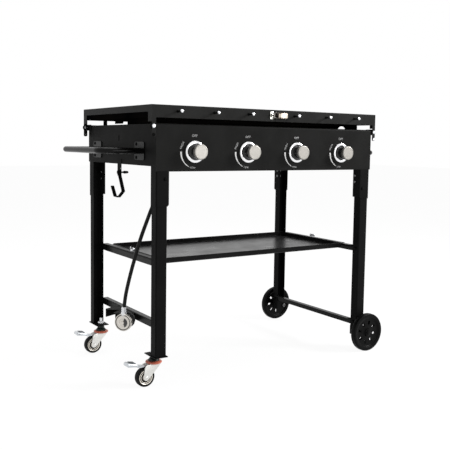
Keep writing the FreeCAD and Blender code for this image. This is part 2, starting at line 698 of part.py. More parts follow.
def make_wing_nuts():
    nuts = []
    for sign in (-1, 1):
        x, z = signed(sign, BAR_OUT + "-bar_flange/2"), "tray_bar_top+tray_sheet"
        hub = doc.addObject("Part::Cone", "hub")
        hub.Radius1, hub.Radius2, hub.Height = 6.5, 4.8, 8
        place(hub, x, "0", z)
        wings = []
        for way in (-1, 1):
            wing = doc.addObject("Part::Cylinder", "wing")
            wing.Radius, wing.Height = 6.5, 2.4
            place(wing, x + "-1.2", "%d*9" % way, z + "+8.5", rotation=TURNS["+x"])
            wings.append(wing)
        solid = joined([hub] + wings)
        nuts.append(less(solid, rod("+z", (x, "0", z + "-1"), "bolt_radius+bolt_play", "20")))
    group("wing_nuts", nuts)


def make_tank_rest():
    """A bent bracket on the left cross bar, which a gas bottle leans against."""
    body = new_body("tank_rest")
    root = signed(-1, BAR_OUT)
    low, high = "left_bar_top-bar_height-8", "left_bar_top-bar_sheet"
    plate = sketch(body, "XY", high + "-sheet")
    tip = signed(-1, BAR_OUT + "+62")
    notch = signed(-1, BAR_OUT + "+26")
    outline(plate, [(root, "-45"), (root, "92"), (tip, "66"), (tip, "50"), (notch, "24"), (tip, "-2"),
                    (tip, "-18")])
    pad(body, plate, "sheet")
    wall = "(%s)-(%s)" % (high, low)
    lips = sketch(body, "XY", low)
    outline(lips, [(root, "92"), (tip, "66"), (tip, "66-1.7"), (root, "92-1.7")])
    outline(lips, [(root, "-45"), (tip, "-18"), (tip, "-18+1.7"), (root, "-45+1.7")])
    pad(body, lips, wall)
    fixed = sketch(body, "XY", low)
    box_outline(fixed, root, "-45", signed(-1, BAR_OUT + "+1.8"), "92")
    pad(body, fixed, wall)


# Shelves that fold over the griddle plate.

def make_shelf(node, sign):
    body = new_body(node)
    end_x, seam_x = signed(sign, SHELF_SIDE), signed(sign, "shelf_seam/2")
    end_in, seam_in = signed(sign, SHELF_SIDE + "-sheet"), signed(sign, "shelf_seam/2+sheet")
    y0, y1 = SHELF_Y0, SHELF_Y1
    y0_in, y1_in = y0 + "+sheet", y1 + "-sheet"
    top = sketch(body, "XY", SHELF_LOW)
    box_outline(top, end_x, y0, seam_x, y1)
    pad(body, top, "shelf_skirt")
    soften(body, X_AXIS, lambda c: close_to(c.z, "shelf_top"), "small_bend")
    hollow = sketch(body, "XY", SHELF_LOW)
    box_outline(hollow, end_in, y0_in, seam_in, y1_in)
    pocket(body, hollow, "shelf_skirt-sheet")
    opened = sketch(body, "XZ", y0_in)
    box_outline(opened, signed(sign, SHELF_SIDE + "+1"), SHELF_LOW + "-1", end_in, "shelf_top-shelf_end")
    box_outline(opened, signed(sign, "-1"), SHELF_LOW + "-1", seam_in, "shelf_top-shelf_end")
    pocket(body, opened, "(%s)-(%s)" % (y1_in, y0_in))
    corners = sketch(body, "XZ")
    outline(corners, [
        (signed(sign, SHELF_SIDE + "+1"), SHELF_LOW + "-1"),
        (signed(sign, SHELF_SIDE + "-shelf_chamfer-1"), SHELF_LOW + "-1"),
        (signed(sign, SHELF_SIDE + "+1"), SHELF_LOW + "+shelf_chamfer+1"),
    ])
    cut_through(body, corners)
    ear_in = signed(sign, SHELF_SIDE + "-ear_width")
    for y in (y0, y1_in):
        ear = sketch(body, "XZ", y)
        box_outline(ear, end_x, "ear_bottom", ear_in, SHELF_LOW + "+shelf_chamfer+4")
        pad(body, ear, "sheet")
    soften(body, Y_AXIS, lambda c: close_to(c.z, "ear_bottom"), "5")
    side_leg = sketch(body, "XY", "pivot_height+14")
    box_outline(side_leg, end_x, y0, end_in, y0 + "+ear_depth")
    box_outline(side_leg, end_x, y1, end_in, y1 + "-ear_depth")
    pad(body, side_leg, "shelf_top-shelf_end-pivot_height-14+1")
    holes = sketch(body, "XZ")
    ring(holes, signed(sign, PIVOT_X), "pivot_height", "pivot_radius+pivot_play")
    ring(holes, signed(sign, PIVOT_X), STOP_Z, "bolt_radius")
    cut_through(body, holes)


# Pegs on the left and the right shelf: the outer two from the box's side face, the inner one from the seam.
PEGS = {
    -1: (SIDE + "-74", SIDE + "-212", "latch_reach+63"),
    1: (SIDE + "-95", SIDE + "-235", "latch_reach+31"),
}


def make_shelf_studs(node, sign):
    """Three pegs on the front skirt, and the stop stud of each ear."""
    studs = []
    for x in PEGS[sign]:
        start = (signed(sign, x), SHELF_Y0, "shelf_top-peg_drop")
        cap = rod("-y", moved(start, "-y", "peg_length-1"), "peg_tip", "6")
        studs.append(joined([rod("-y", start, "peg_radius", "peg_length"), cap]))
    for y, out, back in ((SHELF_Y0, "-y", "+y"), (SHELF_Y1, "+y", "-y")):
        start = (signed(sign, PIVOT_X), y, STOP_Z)
        shank = rod(back, start, "bolt_radius-0.05", "sheet")
        studs.append(joined([rod(out, start, "bolt_radius+2.5", "3"), shank]))
    group(node, studs)


def make_brackets():
    """Angles on the side panels that carry the shelf pivots."""
    pieces = []
    for sign in (-1, 1):
        for end in (-1, 1):
            ear_face = (SHELF_Y0 + "+sheet") if end < 0 else (SHELF_Y1 + "-sheet")
            near = "(%s)-(%d)*bracket_gap" % (ear_face, end)
            far = "(%s)-(%d)*(bracket_gap+bracket_sheet)" % (ear_face, end)
            y0, y1 = (near, far) if end < 0 else (far, near)
            x0, x1 = (SIDE, PIVOT_X) if sign > 0 else (signed(-1, PIVOT_X), signed(-1, SIDE))
            low, high = "pivot_height-bracket_radius", "pivot_height+bracket_radius"
            tab = block(x0, y0, low, x1, y1, high)
            nose = rod("+y", (signed(sign, PIVOT_X), y0, "pivot_height"), "bracket_radius", "bracket_sheet")
            reach = "(%s)-(%d)*bracket_leg" % (near, end)
            l0, l1 = (near, reach) if end < 0 else (reach, near)
            leg_x = "(%s+bracket_sheet)" % SIDE
            lx0, lx1 = (SIDE, leg_x) if sign > 0 else (signed(-1, leg_x), signed(-1, SIDE))
            leg = block(lx0, l0, low, lx1, l1, high)
            hole = rod("+y", (signed(sign, PIVOT_X), "(%s)-2" % y0, "pivot_height"), "pivot_radius+bolt_play",
                       "9")
            pieces.append(less(joined([tab, nose, leg]), hole))
    group("shelf_brackets", pieces)


def make_griddle():
    body = new_body("griddle_plate")
    half, y0, y1 = "(body_width/2+plate_out)", FRONT, BACK + "+plate_back"
    base = sketch(body, "XY", "plate_bottom")
    rounded_box(base, signed(-1, half), y0, half, y1, "plate_corner")
    pad(body, base, "plate_rim")
    hollow = sketch(body, "XY", "plate_bottom+plate_steel")
    rounded_box(hollow, signed(-1, half + "-plate_wall"), y0 + "+plate_wall", half + "-plate_wall",
                y1 + "-plate_wall", "plate_corner-plate_wall")
    pocket(body, hollow, "plate_rim")
    guard_low, guard_high = "panel_top+guard_gap", "plate_bottom"
    guards = sketch(body, "XY", guard_low)
    box_outline(guards, signed(-1, SIDE + "-2"), FRONT + "+35.5", signed(-1, SIDE + "-4"), FRONT + "+317.5")
    box_outline(guards, SIDE + "-2", FRONT + "+75.5", SIDE + "-4", BACK + "-12")
    pad(body, guards, "(%s)-(%s)" % (guard_high, guard_low))
    back_guard = sketch(body, "XY", guard_low)
    box_outline(back_guard, "154-" + SIDE, BACK + "-14", SIDE + "-3", BACK + "-12")
    pad(body, back_guard, "(%s)-(%s)" % (guard_high, guard_low))
    chute = sketch(body, "XY", "plate_bottom-15")
    box_outline(chute, "-chute_width/2", BACK + "-24", "chute_width/2", y1)
    pad(body, chute, "15")
    spout = sketch(body, "XY", "plate_bottom-15")
    box_outline(spout, "-chute_width/2", y1 + "-1", "chute_width/2", "chute_end")
    pad(body, spout, "13.5")
    trough = sketch(body, "XY", "plate_bottom-13")
    box_outline(trough, "-chute_width/2+2", BACK + "-22", "chute_width/2-2", "chute_end-2")
    pocket(body, trough, "13")
    drain = sketch(body, "XY", "plate_bottom-1")
    box_outline(drain, "-chute_width/2+2", BACK + "-22", "chute_width/2-2", BACK + "-6")
    pocket(body, drain, "plate_steel+3")
    outlet = sketch(body, "XY", "plate_bottom-16")
    ring(outlet, "0", "chute_end-11", "7")
    pocket(body, outlet, "4")
    for sign, middle in ((-1, FRONT + "+231"), (1, FRONT + "+165.5")):
        arch = sketch(body, "YZ")
        ring(arch, middle, guard_low + "-13", "27")
        pocket(body, arch, SIDE, way=sign)
    feet = sketch(body, "XY", "panel_top-sheet")
    for sign in (-1, 1):
        for end in (-1, 1):
            ring(feet, signed(sign, SIDE + "-foot_radius-5.5"), signed(end, "foot_place"), "foot_radius")
    pad(body, feet, "plate_bottom-panel_top+sheet")


# Draw latch at the seam of the shelves.

def latch_block(x0, out0, low, x1, out1, high):
    """A box on the shelves' front face: out is how far it stands out, low and high are from the axis."""
    return block(str(x0), SHELF_Y0 + "-%s" % out1, "latch_height+(%s)" % low, str(x1),
                 SHELF_Y0 + "-%s" % out0, "latch_height+(%s)" % high)


def latch_pin(x, out, radius, half):
    return rod("+z", (str(x), SHELF_Y0 + "-%s" % out, "latch_height-%s" % half), radius, "2*%s" % half)


def make_latch():
    """An over-centre draw latch: a keeper on one shelf; a base, a lever and a hook on the other."""
    keeper = joined([latch_block(-29, 0, -13, -9, 1.5, 13), latch_block(-18.5, 0, -7, -17, 5.5, 7)])
    named("latch_keeper", keeper)
    lever_pin, link = (14, 4), (20, 6)
    lugs = [latch_block(10, 0, low, 18, 6.5, high) for low, high in ((9.5, 11), (-11, -9.5))]
    base = joined([latch_block(4, 0, -11, "latch_reach", 1.5, 11)] + lugs)
    named("latch_base", less(base, latch_pin(*lever_pin, "latch_pin+pivot_play", 12)))

    lever = new_body("latch_lever")
    for low in (7.6, -8.8):
        cheek = sketch(lever, "XY", "latch_height+(%s)" % low)
        outline(cheek, [(x, SHELF_Y0 + "-%s" % out) for x, out in (
            ("12.2", 3.2), ("12.2", 5.2), ("14", 11), ("29", 11), ("29", 8), ("20", 3.6), ("15.5", 2.2),
            ("13.2", 2.2))])
        pad(lever, cheek, "1.2")
    handle = sketch(lever, "XY", "latch_height-8.8")
    outline(handle, [(x, SHELF_Y0 + "-%s" % out) for x, out in (
        ("27.5", 9.8), ("27.5", 11), ("42", 11), ("47", 13.5), ("48", 12.5), ("43", 9.8))])
    pad(lever, handle, "17.6")
    holes = sketch(lever, "XY", "latch_height-12")
    ring(holes, "20", SHELF_Y0 + "-6", "latch_link+pivot_play")
    pocket(lever, holes, "24")
    pin = sketch(lever, "XY", "latch_height-11")
    ring(pin, "14", SHELF_Y0 + "-4", "latch_pin")
    pad(lever, pin, "22")

    bar = latch_block(-22.5, 7.2, -6, 21, 8.6, 6)
    claw = latch_block(-22.5, 2.2, -6, -21, 8.6, 6)
    hook = joined([bar, claw, latch_pin(*link, "2.2", 6), latch_pin(*link, "latch_link", 8.7)])
    named("latch_hook", less(hook, latch_block(-8, 6, -3, 6, 10, 3)))


# Gas train: manifold, valves, stems, knobs and burners.

def knob_x(index):
    return "(knob_first+%d*knob_step)" % index


def make_gas_train():
    y = "(%s+manifold_back)" % FRONT
    left = "(-body_width/2+62)"
    pipe = rod("+x", (left, y, "knob_height"), "manifold_radius", "%s+24-(%s)" % (knob_x(3), left))
    drop = rod("-z", (left, y, "knob_height+manifold_radius+3"), "manifold_radius+2", "2*manifold_radius+21")
    nipple = rod("-z", (left, y, "knob_height-manifold_radius-15"), "hose_radius+1.5", "10.7")
    named("gas_manifold", joined([pipe, drop, nipple]))
    valves, bezels = [], []
    for index in range(4):
        x = knob_x(index)
        start = (x, y + "-manifold_radius", "knob_height")
        shell = rod("-y", start, "11", "16")
        gland = rod("-y", moved(start, "-y", "16"), "8", "manifold_back-manifold_radius-sheet-16-3")
        bore = rod("-y", moved(start, "-y", "4"), "stem_radius+stem_play+0.2", "60")
        valves.append(less(joined([shell, gland]), bore))
        ring_start = (x, FRONT, "knob_height")
        outer = doc.addObject("Part::Cone", "bezel")
        outer.setExpression("Radius1", bound("bezel_radius"))
        outer.setExpression("Radius2", bound("bezel_radius-bezel_slope"))
        outer.setExpression("Height", bound("bezel_height"))
        place(outer, *ring_start, rotation=TURNS["-y"])
        mouth = doc.addObject("Part::Cone", "mouth")
        mouth.setExpression("Radius1", bound("bezel_bore"))
        mouth.setExpression("Radius2", bound("bezel_bore+bezel_slope"))
        mouth.setExpression("Height", bound("bezel_height"))
        place(mouth, *ring_start, rotation=TURNS["-y"])
        bezels.append(less(outer, mouth))
    group("gas_valves", valves)
    group("knob_bezels", bezels)


def make_stem(index):
    node = "valve_stem_%d" % (index + 1)
    front = "knob_reach-8"
    start = (knob_x(index), "(%s)-(%s)" % (FRONT, front), "knob_height")
    shaft = rod("+y", start, "stem_radius", front + "+manifold_back-manifold_radius-13")
    named(node, shaft)


def make_knob(index):
    """A knob with a wide skirt at the back and a face that stands out through the chrome ring."""
    body = new_body("knob_%d" % (index + 1))
    profile = sketch(body, "YZ")
    back, front = "(%s)-knob_gap" % FRONT, "(%s)-knob_reach" % FRONT
    bore = "stem_radius+stem_play"
    outline(profile, [
        (back, bore), (back, "knob_radius"), (back + "-8", "knob_radius"),
        (back + "-12", "knob_face-2"), (front + "+13", "knob_face-3"), (front + "+11", "knob_face"),
        (front + "+2", "knob_face"), (front, "knob_face-2"),
        (front, "0"), (front + "+7.95", "0"), (front + "+7.95", bore),
    ])
    turn(body, profile)
    place(body, knob_x(index), "0", "knob_height")


def pipe_solid(points, bend, radius):
    """A round bar along a route: straight pieces, and a turned piece at each corner."""
    start, pieces = points[0], []
    for before, corner, after in zip(points, points[1:], points[2:]):
        arrive, leave = (corner - before).normalize(), (after - corner).normalize()
        turned = arrive.getAngle(leave)
        reach = bend * math.tan(turned / 2)
        begin = corner - arrive * reach
        section = Part.Face(Part.Wire(Part.makeCircle(radius, start, arrive)))
        pieces.append(section.extrude(begin - start))
        axis = arrive.cross(leave).normalize()
        centre = begin + axis.cross(arrive) * bend
        section = Part.Face(Part.Wire(Part.makeCircle(radius, begin, arrive)))
        pieces.append(section.revolve(centre, axis, math.degrees(turned)))
        start = corner + leave * reach
    section = Part.Face(Part.Wire(Part.makeCircle(radius, start, leave)))
    pieces.append(section.extrude(points[-1] - start))
    return pieces[0].multiFuse(pieces[1:]).removeSplitter()


def make_burners():
    shapes = []
    radius, height = number("burner_radius"), number("burner_height")
    half = number("burner_half")
    front, back = number(FRONT + "+burner_front"), number(BACK + "-burner_back")
    for index in range(4):
        x = number(knob_x(index))
        route = [V(x - half, front, height), V(x - half, back, height), V(x + half, back, height),
                 V(x + half, front + 22, height)]
        shapes.append(pipe_solid(route, half - 2, radius))
    feature = doc.addObject("Part::Feature", "burners")
    feature.Shape = Part.makeCompound(shapes)
    named("burners", feature)


def make_burner_rests():
    """Two angles across the box that the burner tubes lie on."""
    rests = []
    top = "(burner_height-burner_radius-0.3)"
    for y in (FRONT + "+110", BACK + "-130"):
        upright = block(signed(-1, SIDE + "-sheet"), y, top + "-20", SIDE + "-sheet", y + "+1.5", top)
        ledge = block(signed(-1, SIDE + "-sheet"), y, top + "-1.5", SIDE + "-sheet", y + "+16", top)
        rests.append(joined([upright, ledge]))
    group("burner_rests", rests)


def make_handle(node, sign):
    """A loop handle: a bent tube with an end plate at each end."""
    z = number("handle_height")
    root = sign * (number(SIDE) + number("foot_plate"))
    out = sign * (number(SIDE) + number("handle_reach"))
    y0, y1 = number("handle_front"), number("handle_back")
    route = [V(root, y0, z), V(out, y0, z), V(out, y1, z), V(root, y1, z)]
    loop = pipe_solid(route, number("handle_bend"), number("handle_radius"))
    plate = number("foot_plate")
    long, tall, spread = number("foot_plate_long"), number("foot_plate_tall"), number("screw_spread")
    shape = loop
    for y in (y0, y1):
        corner = V(min(root, root - sign * plate), y - long / 2, z - tall / 2)
        pad_shape = Part.makeBox(plate, long, tall, corner)
        uprights = [e for e in pad_shape.Edges if abs(e.tangentAt(e.FirstParameter).x) > 0.99]
        pad_shape = pad_shape.makeFillet(8, uprights)
        for way in (-1, 1):
            hole = Part.makeCylinder(number("bolt_radius") + number("bolt_play"), plate + 2,
                                     V(corner.x - 1, y + spread, z + way * spread), V(1, 0, 0))
            pad_shape = pad_shape.cut(hole)
        shape = shape.fuse(pad_shape)
    feature = doc.addObject("Part::Feature", node)
    feature.Shape = shape.removeSplitter()
    named(node, feature)


# Tank hook under the left side panel.

def strip_sides(points, thickness):
    """The outline of a flat bar bent along the points: both sides, mitred at each bend."""
    sides = ([], [])
    for index, spot in enumerate(points):
        before = spot - points[max(index - 1, 0)]
        after = points[min(index + 1, len(points) - 1)] - spot
        before = after if before.Length == 0 else before
        after = before if after.Length == 0 else after
        before, after = before.normalize(), after.normalize()
        mitre = (before + after).normalize()
        reach = thickness / 2 / mitre.dot(before)
        across = V(-mitre.y, mitre.x, 0) * reach
        sides[0].append(spot + across)
        sides[1].append(spot - across)
    return sides[0] + sides[1][::-1]


def make_tank_hook():
    """A flat bar bent to a hook, with a lug on its edge that hangs from the tab by the thumb screw."""
    out = signed(-1, SIDE)
    face = out + "-hook_gap"
    y, z = "hook_place", "hook_height"
    body = new_body("tank_hook")
    bends = [V(-9.6, 6.5, 0), V(-47.4, -63.1, 0), V(-10.8, -85.3, 0), V(19.3, -84, 0), V(44.1, -49.6, 0)]
    bar = sketch(body, "YZ", face)
    outline(bar, [(y + "%+.2f" % spot.x, z + "%+.2f" % spot.y)
                  for spot in strip_sides(bends, number("hook_sheet"))])
    pad(body, bar, "hook_width", way=-1)
    lug = sketch(body, "YZ", face)
    outline(lug, [
        (y + "-9", z + "+7"), (y + "+5", z + "+7"), (y + "+8", z + "+3"), (y + "+8", z + "-5"), (y + "+4", z + "-8"),
        (y + "-17", z + "-8"),
    ])
    pad(body, lug, "hook_sheet", way=-1)
    hole = sketch(body, "YZ")
    ring(hole, y, z, "hook_pin+0.05")
    cut_through(body, hole)
    head = face + "-hook_sheet-3.7"
    screw = joined([rod("+x", (head, y, z), "hook_pin", "40"), rod("+x", (head, y, z), "6", "3.5")])
    grip = block(out + "+16", y + "-9", z + "-2", out + "+31", y + "+9", z + "+2")
    named("hook_screw", joined([screw, grip]))


# Fixed wheels and swivel casters.

def make_wheel(node, end):
    """A moulded wheel with eight slots, a raised hub and a ribbed rim, on its axle bolt."""
    body = new_body(node)
    profile = sketch(body, "YZ")
    half = "wheel_width/2"
    bore = "axle_radius+axle_play"
    web, rim = "wheel_web/2", "wheel_radius-wheel_rim"
    outline(profile, [
        (signed(-1, half + "+6"), bore), (signed(-1, half + "+6"), "wheel_hub-2"),
        (signed(-1, web), "wheel_hub"), (signed(-1, web), rim + "-6"), (signed(-1, half), rim),
        (signed(-1, half), "wheel_radius-3"),
        (signed(-1, half + "-3"), "wheel_radius"), (half + "-3", "wheel_radius"), (half, "wheel_radius-3"),
        (half, rim), (web, rim + "-6"), (web, "wheel_hub"), (half, "wheel_hub-2"), (half, bore),
    ])
    turn(body, profile)
    doc.recompute()
    before = body.Tip
    slot = sketch(body, "XZ", "-20")
    rounded_box(slot, "-slot_width/2", "wheel_hub+11.5", "slot_width/2", rim + "-11", "slot_width/2-0.5")
    cut = pocket(body, slot, "40", way=1)
    pattern = body.newObject("PartDesign::PolarPattern", "slots")
    pattern.Originals = [cut]
    pattern.Axis = (before.Profile[0], ["H_Axis"])
    pattern.Angle = 360
    pattern.Occurrences = 8
    body.Tip = pattern
    middle = "wheel_gap+wheel_width/2"
    turned = FreeCAD.Rotation() if end > 0 else FreeCAD.Rotation(Z_AXIS, 180)
    place(body, SIDE + "-axle_inset", signed(end, BACK + "+" + middle), "wheel_radius", rotation=turned)


def make_caster(end, name):
    x = "(-body_width/2+stem_x)"
    y = "(%s)" % signed(end, BACK + "-stem_y")
    axle_x = "(%s-caster_trail)" % x
    crown = "fork_top-5"
    fork = new_body("caster_fork_" + name)
    top = sketch(fork, "XY", crown)
    ring(top, x, y, "23")
    pad(fork, top, "5")
    band = sketch(fork, "XY", "fork_top")
    ring(band, x, y, "26")
    pad(fork, band, "7")
    for side in (-1, 1):
        cheek = sketch(fork, "XZ", "(%s)+(%s)" % (y, signed(side, "caster_width/2+fork_gap")))
        outline(cheek, [
            (axle_x + "-10", "caster_radius"), (axle_x + "-5", "caster_radius-8"),
            (axle_x + "+5", "caster_radius-8"), (axle_x + "+10", "caster_radius-4"), (x + "+15", crown),
            (x + "+15", "fork_top"), (x + "-15", "fork_top"), (x + "-22", crown), (x + "-35", "fork_top-6"),
        ])
        pad(fork, cheek, "fork_sheet", way=side)
    axle = sketch(fork, "XZ", "(%s)-caster_width/2-fork_gap-fork_sheet-2" % y)
    ring(axle, axle_x, "caster_radius", "4")
    pad(fork, axle, "caster_width+2*fork_gap+2*fork_sheet+4")
    bore = sketch(fork, "XY", crown + "-1")
    ring(bore, x, y, "caster_stem+axle_play")
    pocket(fork, bore, "14")

    wheel = new_body("caster_wheel_" + name)
    profile = sketch(wheel, "YZ")
    half = "caster_width/2"
    outline(profile, [
        (signed(-1, half), "4.05"), (signed(-1, half), "9"), (signed(-1, half + "-3"), "11"),
        (signed(-1, half + "-3"), "22"), (signed(-1, half), "25"), (signed(-1, half), "caster_radius-4"),
        (signed(-1, half + "-4"), "caster_radius"), (half + "-4", "caster_radius"),
        (half, "caster_radius-4"),
        (half, "25"), (half + "-3", "22"), (half + "-3", "11"), (half, "9"), (half, "4.05"),
    ])
    turn(wheel, profile)
    place(wheel, axle_x, y, "caster_radius")

    pedal = new_body("brake_pedal_" + name)
    arm = sketch(pedal, "XZ", y + "-9")
    outline(arm, [(x + "-27", "68.5"), (x + "-27", "70.8"), (x + "-62", "75"), (x + "-62", "68")])
    pad(pedal, arm, "18")
    tread = sketch(pedal, "XZ", y + "-15")
    outline(tread, [
        (x + "-54", "68.5"), (x + "-54", "73"), (x + "-64", "84"), (x + "-96", "90"), (x + "-102", "86"),
        (x + "-102", "79"), (x + "-98", "76"), (x + "-70", "72"), (x + "-60", "67"),
    ])
    pad(pedal, tread, "30")
    pin = sketch(pedal, "XZ", y + "-12")
    ring(pin, x + "-29", "pedal_height", "2.5")
    pad(pedal, pin, "24")


def make_caster_stems():
    stems = []
    for end in (-1, 1):
        x, y = "(-body_width/2+stem_x)", "(%s)" % signed(end, BACK + "-stem_y")
        stem = rod("+z", (x, y, "fork_top-4.5"), "caster_stem", "left_leg_bottom+24-fork_top+4.5")
        collar = rod("+z", (x, y, "fork_top+7.3"), "19", "7.7")
        lock = hexagon("+z", (x, y, "fork_top+15"), "13", "left_leg_bottom-caster_plate-fork_top-15")
        nut = hexagon("+z", (x, y, "left_leg_bottom"), "11", "10")
        stems.append(joined([stem, collar, lock, nut]))
    group("caster_stems", stems)


# Bolts that stay with the frame.

def make_frame_bolts():
    bolts = []
    for sign in (-1, 1):
        low = "left_leg_bottom" if sign < 0 else "right_leg_bottom"
        bar_top = "left_bar_top" if sign < 0 else "right_bar_top"
        outward = "+x" if sign > 0 else "-x"
        for end in (-1, 1):
            inward = "+y" if end < 0 else "-y"
            y = signed(end, WEB_Y + "-24")
            for rise in ("flange_bolt_high", "flange_bolt_low"):
                start = (signed(sign, SLEEVE_OUT + "-sleeve_width"), y, rise)
                bolts.append(bolt(outward, start, "14"))
            start = (signed(sign, LEG_OUT + "-31.5"), signed(end, "(body_depth/2-sheet)"),
                     low + "+web_bolt_rise")
            bolts.append(bolt(inward, start, "9"))
            y = signed(end, WEB_Y + "-18")
            for top in ("tray_bar_top", bar_top):
                start = (signed(sign, LEG_IN), y, top + "-bar_height/2")
                bolts.append(bolt(outward, start, "leg_sheet+bar_sheet+4.5"))
            out_way = "-y" if end < 0 else "+y"
            ear = SHELF_Y0 if end < 0 else SHELF_Y1
            grip = "sheet+bracket_gap+bracket_sheet+5"
            head = moved((signed(sign, PIVOT_X), ear, "pivot_height"), out_way, "0.3")
            bolts.append(bolt(inward, head, grip + "+0.3", radius="pivot_radius", head="pivot_head",
                              round_head=True))
        for y in ("handle_front", "handle_back"):
            for way in (-1, 1):
                start = (signed(sign, SIDE + "+foot_plate"), y + "+screw_spread",
                         "handle_height+%d*screw_spread" % way)
                inward_x = "-x" if sign > 0 else "+x"
                bolts.append(bolt(inward_x, start, "foot_plate+sheet+5", height="2.5", round_head=True))
        start = (signed(sign, BAR_OUT + "-bar_flange/2"), "0", "tray_bar_top-bar_sheet")
        bolts.append(bolt("+z", start, "bar_sheet+tray_sheet+12", nut=False, height="2.5"))
    for end in (-1, 1):
        inward = "+y" if end < 0 else "-y"
        face = signed(end, BACK + "+wheel_gap+wheel_width+0.5")
        start = (SIDE + "-axle_inset", face, "wheel_radius")
        grip = "wheel_gap+wheel_width+0.5+sheet+sleeve_sheet+leg_depth+leg_sheet+7"
        pieces = [
            rod(OPPOSITE[inward], start, "9", "4"), rod(inward, start, "axle_radius", grip),
            hexagon(inward, moved(start, inward, grip + "-6.5"), "8", "6.5"),
        ]
        bolts.append(joined(pieces))
    group("frame_bolts", bolts)


def make_grease_cup():
    body = new_body("grease_cup")
    y0 = BACK + "+3"
    y1 = y0 + "+cup_depth"
    base = sketch(body, "XY", "cup_top-cup_height")
    rounded_box(base, "-cup_width/2", y0, "cup_width/2", y1, "8")
    pad(body, base, "cup_height")
    rim = sketch(body, "XY", "cup_top-1.2")
    box_outline(rim, "-cup_width/2-7", y0, "cup_width/2+7", y1 + "+6")
    pad(body, rim, "1.2")
    hollow = sketch(body, "XY", "cup_top-cup_height+1.2")
    rounded_box(hollow, "-cup_width/2+1.2", y0 + "+1.2", "cup_width/2-1.2", y1 + "-1.2", "6.8")
    pocket(body, hollow, "cup_height+5")


# Gas hose with its regulator.

HOSE_ROUTE = [
    (-403, -223.5, 738), (-403, -222, 712), (-407, -216, 672), (-420, -204, 630), (-438, -196, 590),
    (-455, -196, 548), (-468, -188, 506), (-478, -177, 462), (-485, -165, 418), (-492, -152, 372),
    (-499, -141, 324), (-504, -134, 286), (-506, -130, 252),
]
REGULATOR = V(-507, -129, 200)
REGULATOR_AXIS = V(0.72, 0.69, 0)


def rounded_route(points):
    """Straight runs joined by tangent arcs, each as large as its two runs allow."""
    edges, start, radii = [], points[0], []
    for before, corner, after in zip(points, points[1:], points[2:]):
        arrive, leave = before - corner, after - corner
        shorter = min(arrive.Length, leave.Length)
        half_turn = (math.pi - arrive.getAngle(leave)) / 2
        radius = 0.45 * shorter / math.tan(half_turn)
        radii.append(radius)
        arrive.normalize()
        leave.normalize()
        p, q = corner + arrive * 0.45 * shorter, corner + leave * 0.45 * shorter
        inward = (arrive + leave).normalize()
        centre = corner + inward * (radius / math.cos(half_turn))
        middle = centre - inward * radius
        edges.append(Part.LineSegment(start, p).toShape())
        edges.append(Part.Arc(p, middle, q).toShape())
        start = q
    edges.append(Part.LineSegment(start, points[-1]).toShape())
    return Part.Wire(edges), radii


def make_hose():
    points = [V(*p) for p in HOSE_ROUTE]
    wire, radii = rounded_route(points)
    radius = number("hose_radius")
    section = Part.Wire([Part.makeCircle(radius, points[0], points[1] - points[0])])
    solid = wire.makePipeShell([section], True, False)
    expected = math.pi * radius ** 2 * wire.Length
    print("hose length %.1f, radii %s, volume %.4f of section times length"
          % (wire.Length, [round(r) for r in radii], solid.Volume / expected))
    feature = doc.addObject("Part::Feature", "gas_hose")
    feature.Shape = solid
    named("gas_hose", feature)


def turned_shape(profile, base, axis):
    """A solid turned about an axis, from (distance along the axis, radius) pairs."""
    face = Part.Face(Part.makePolygon([V(r, 0, a) for a, r in profile + profile[:1]]))
    solid = face.revolve(V(0, 0, 0), V(0, 0, 1), 360)
    solid.Placement = FreeCAD.Placement(base, FreeCAD.Rotation(V(0, 0, 1), axis))
    return solid


def make_regulator():
    axis = V(REGULATOR_AXIS)
    axis.normalize()
    disc = turned_shape([(-14, 0), (-14, 10), (-11, 13), (-11, 22), (-7, 26), (-3, 29.5), (3, 29.5), (7, 26),
                         (9, 14), (22, 11), (22, 0)], REGULATOR, axis)
    neck = Part.makeCylinder(7.5, 25, REGULATOR + V(0, 0, 26), V(0, 0, 1))
    lower = Part.makeCylinder(9, 10, REGULATOR + V(0, 0, 24), V(0, 0, 1))
    solid = disc.fuse([neck, lower])
    spigot = turned_shape([(21, 0), (21, 7), (48, 7), (50, 5), (50, 0)], REGULATOR, axis)
    feature = doc.addObject("Part::Feature", "regulator")
    feature.Shape = solid.fuse(spigot).removeSplitter()
    named("regulator", feature)
    wheel = turned_shape([(23, 7.05), (23, 20), (26, 27), (40, 27), (43, 23), (43, 7.05)], REGULATOR, axis)
    grips = []
    for index in range(10):
        angle = index * math.pi / 5
        groove = Part.makeCylinder(3, 30, V(28.4 * math.cos(angle), 28.4 * math.sin(angle), 20), V(0, 0, 1))
        grips.append(groove)
    cutter = grips[0].multiFuse(grips[1:])
    cutter.Placement = FreeCAD.Placement(REGULATOR, FreeCAD.Rotation(V(0, 0, 1), axis))
    feature = doc.addObject("Part::Feature", "hose_coupling")
    feature.Shape = wheel.cut(cutter)
    named("hose_coupling", feature)


make_front_panel()
make_side_panel("side_panel_left", -1)
make_side_panel("side_panel_right", 1)
make_back_panel()
for name, sign, end in (("front_left", -1, -1), ("front_right", 1, -1), ("back_left", -1, 1),
                        ("back_right", 1, 1)):
    low = "left_leg_bottom" if sign < 0 else "right_leg_bottom"
    bar_top = "left_bar_top" if sign < 0 else "right_bar_top"
    make_sleeve("leg_sleeve_" + name, sign, end, low + "+web_bolt_rise")
    make_leg("leg_" + name, sign, end, low, bar_top)
make_bar("tray_bar_left", -1, "tray_bar_top")
make_bar("tray_bar_right", 1, "tray_bar_top")
make_bar("cross_bar_left", -1, "left_bar_top")
make_bar("cross_bar_right", 1, "right_bar_top")
make_tray()
make_wing_nuts()
make_tank_rest()
make_shelf("shelf_left", -1)
make_shelf("shelf_right", 1)
make_shelf_studs("shelf_studs_left", -1)
make_shelf_studs("shelf_studs_right", 1)
make_brackets()
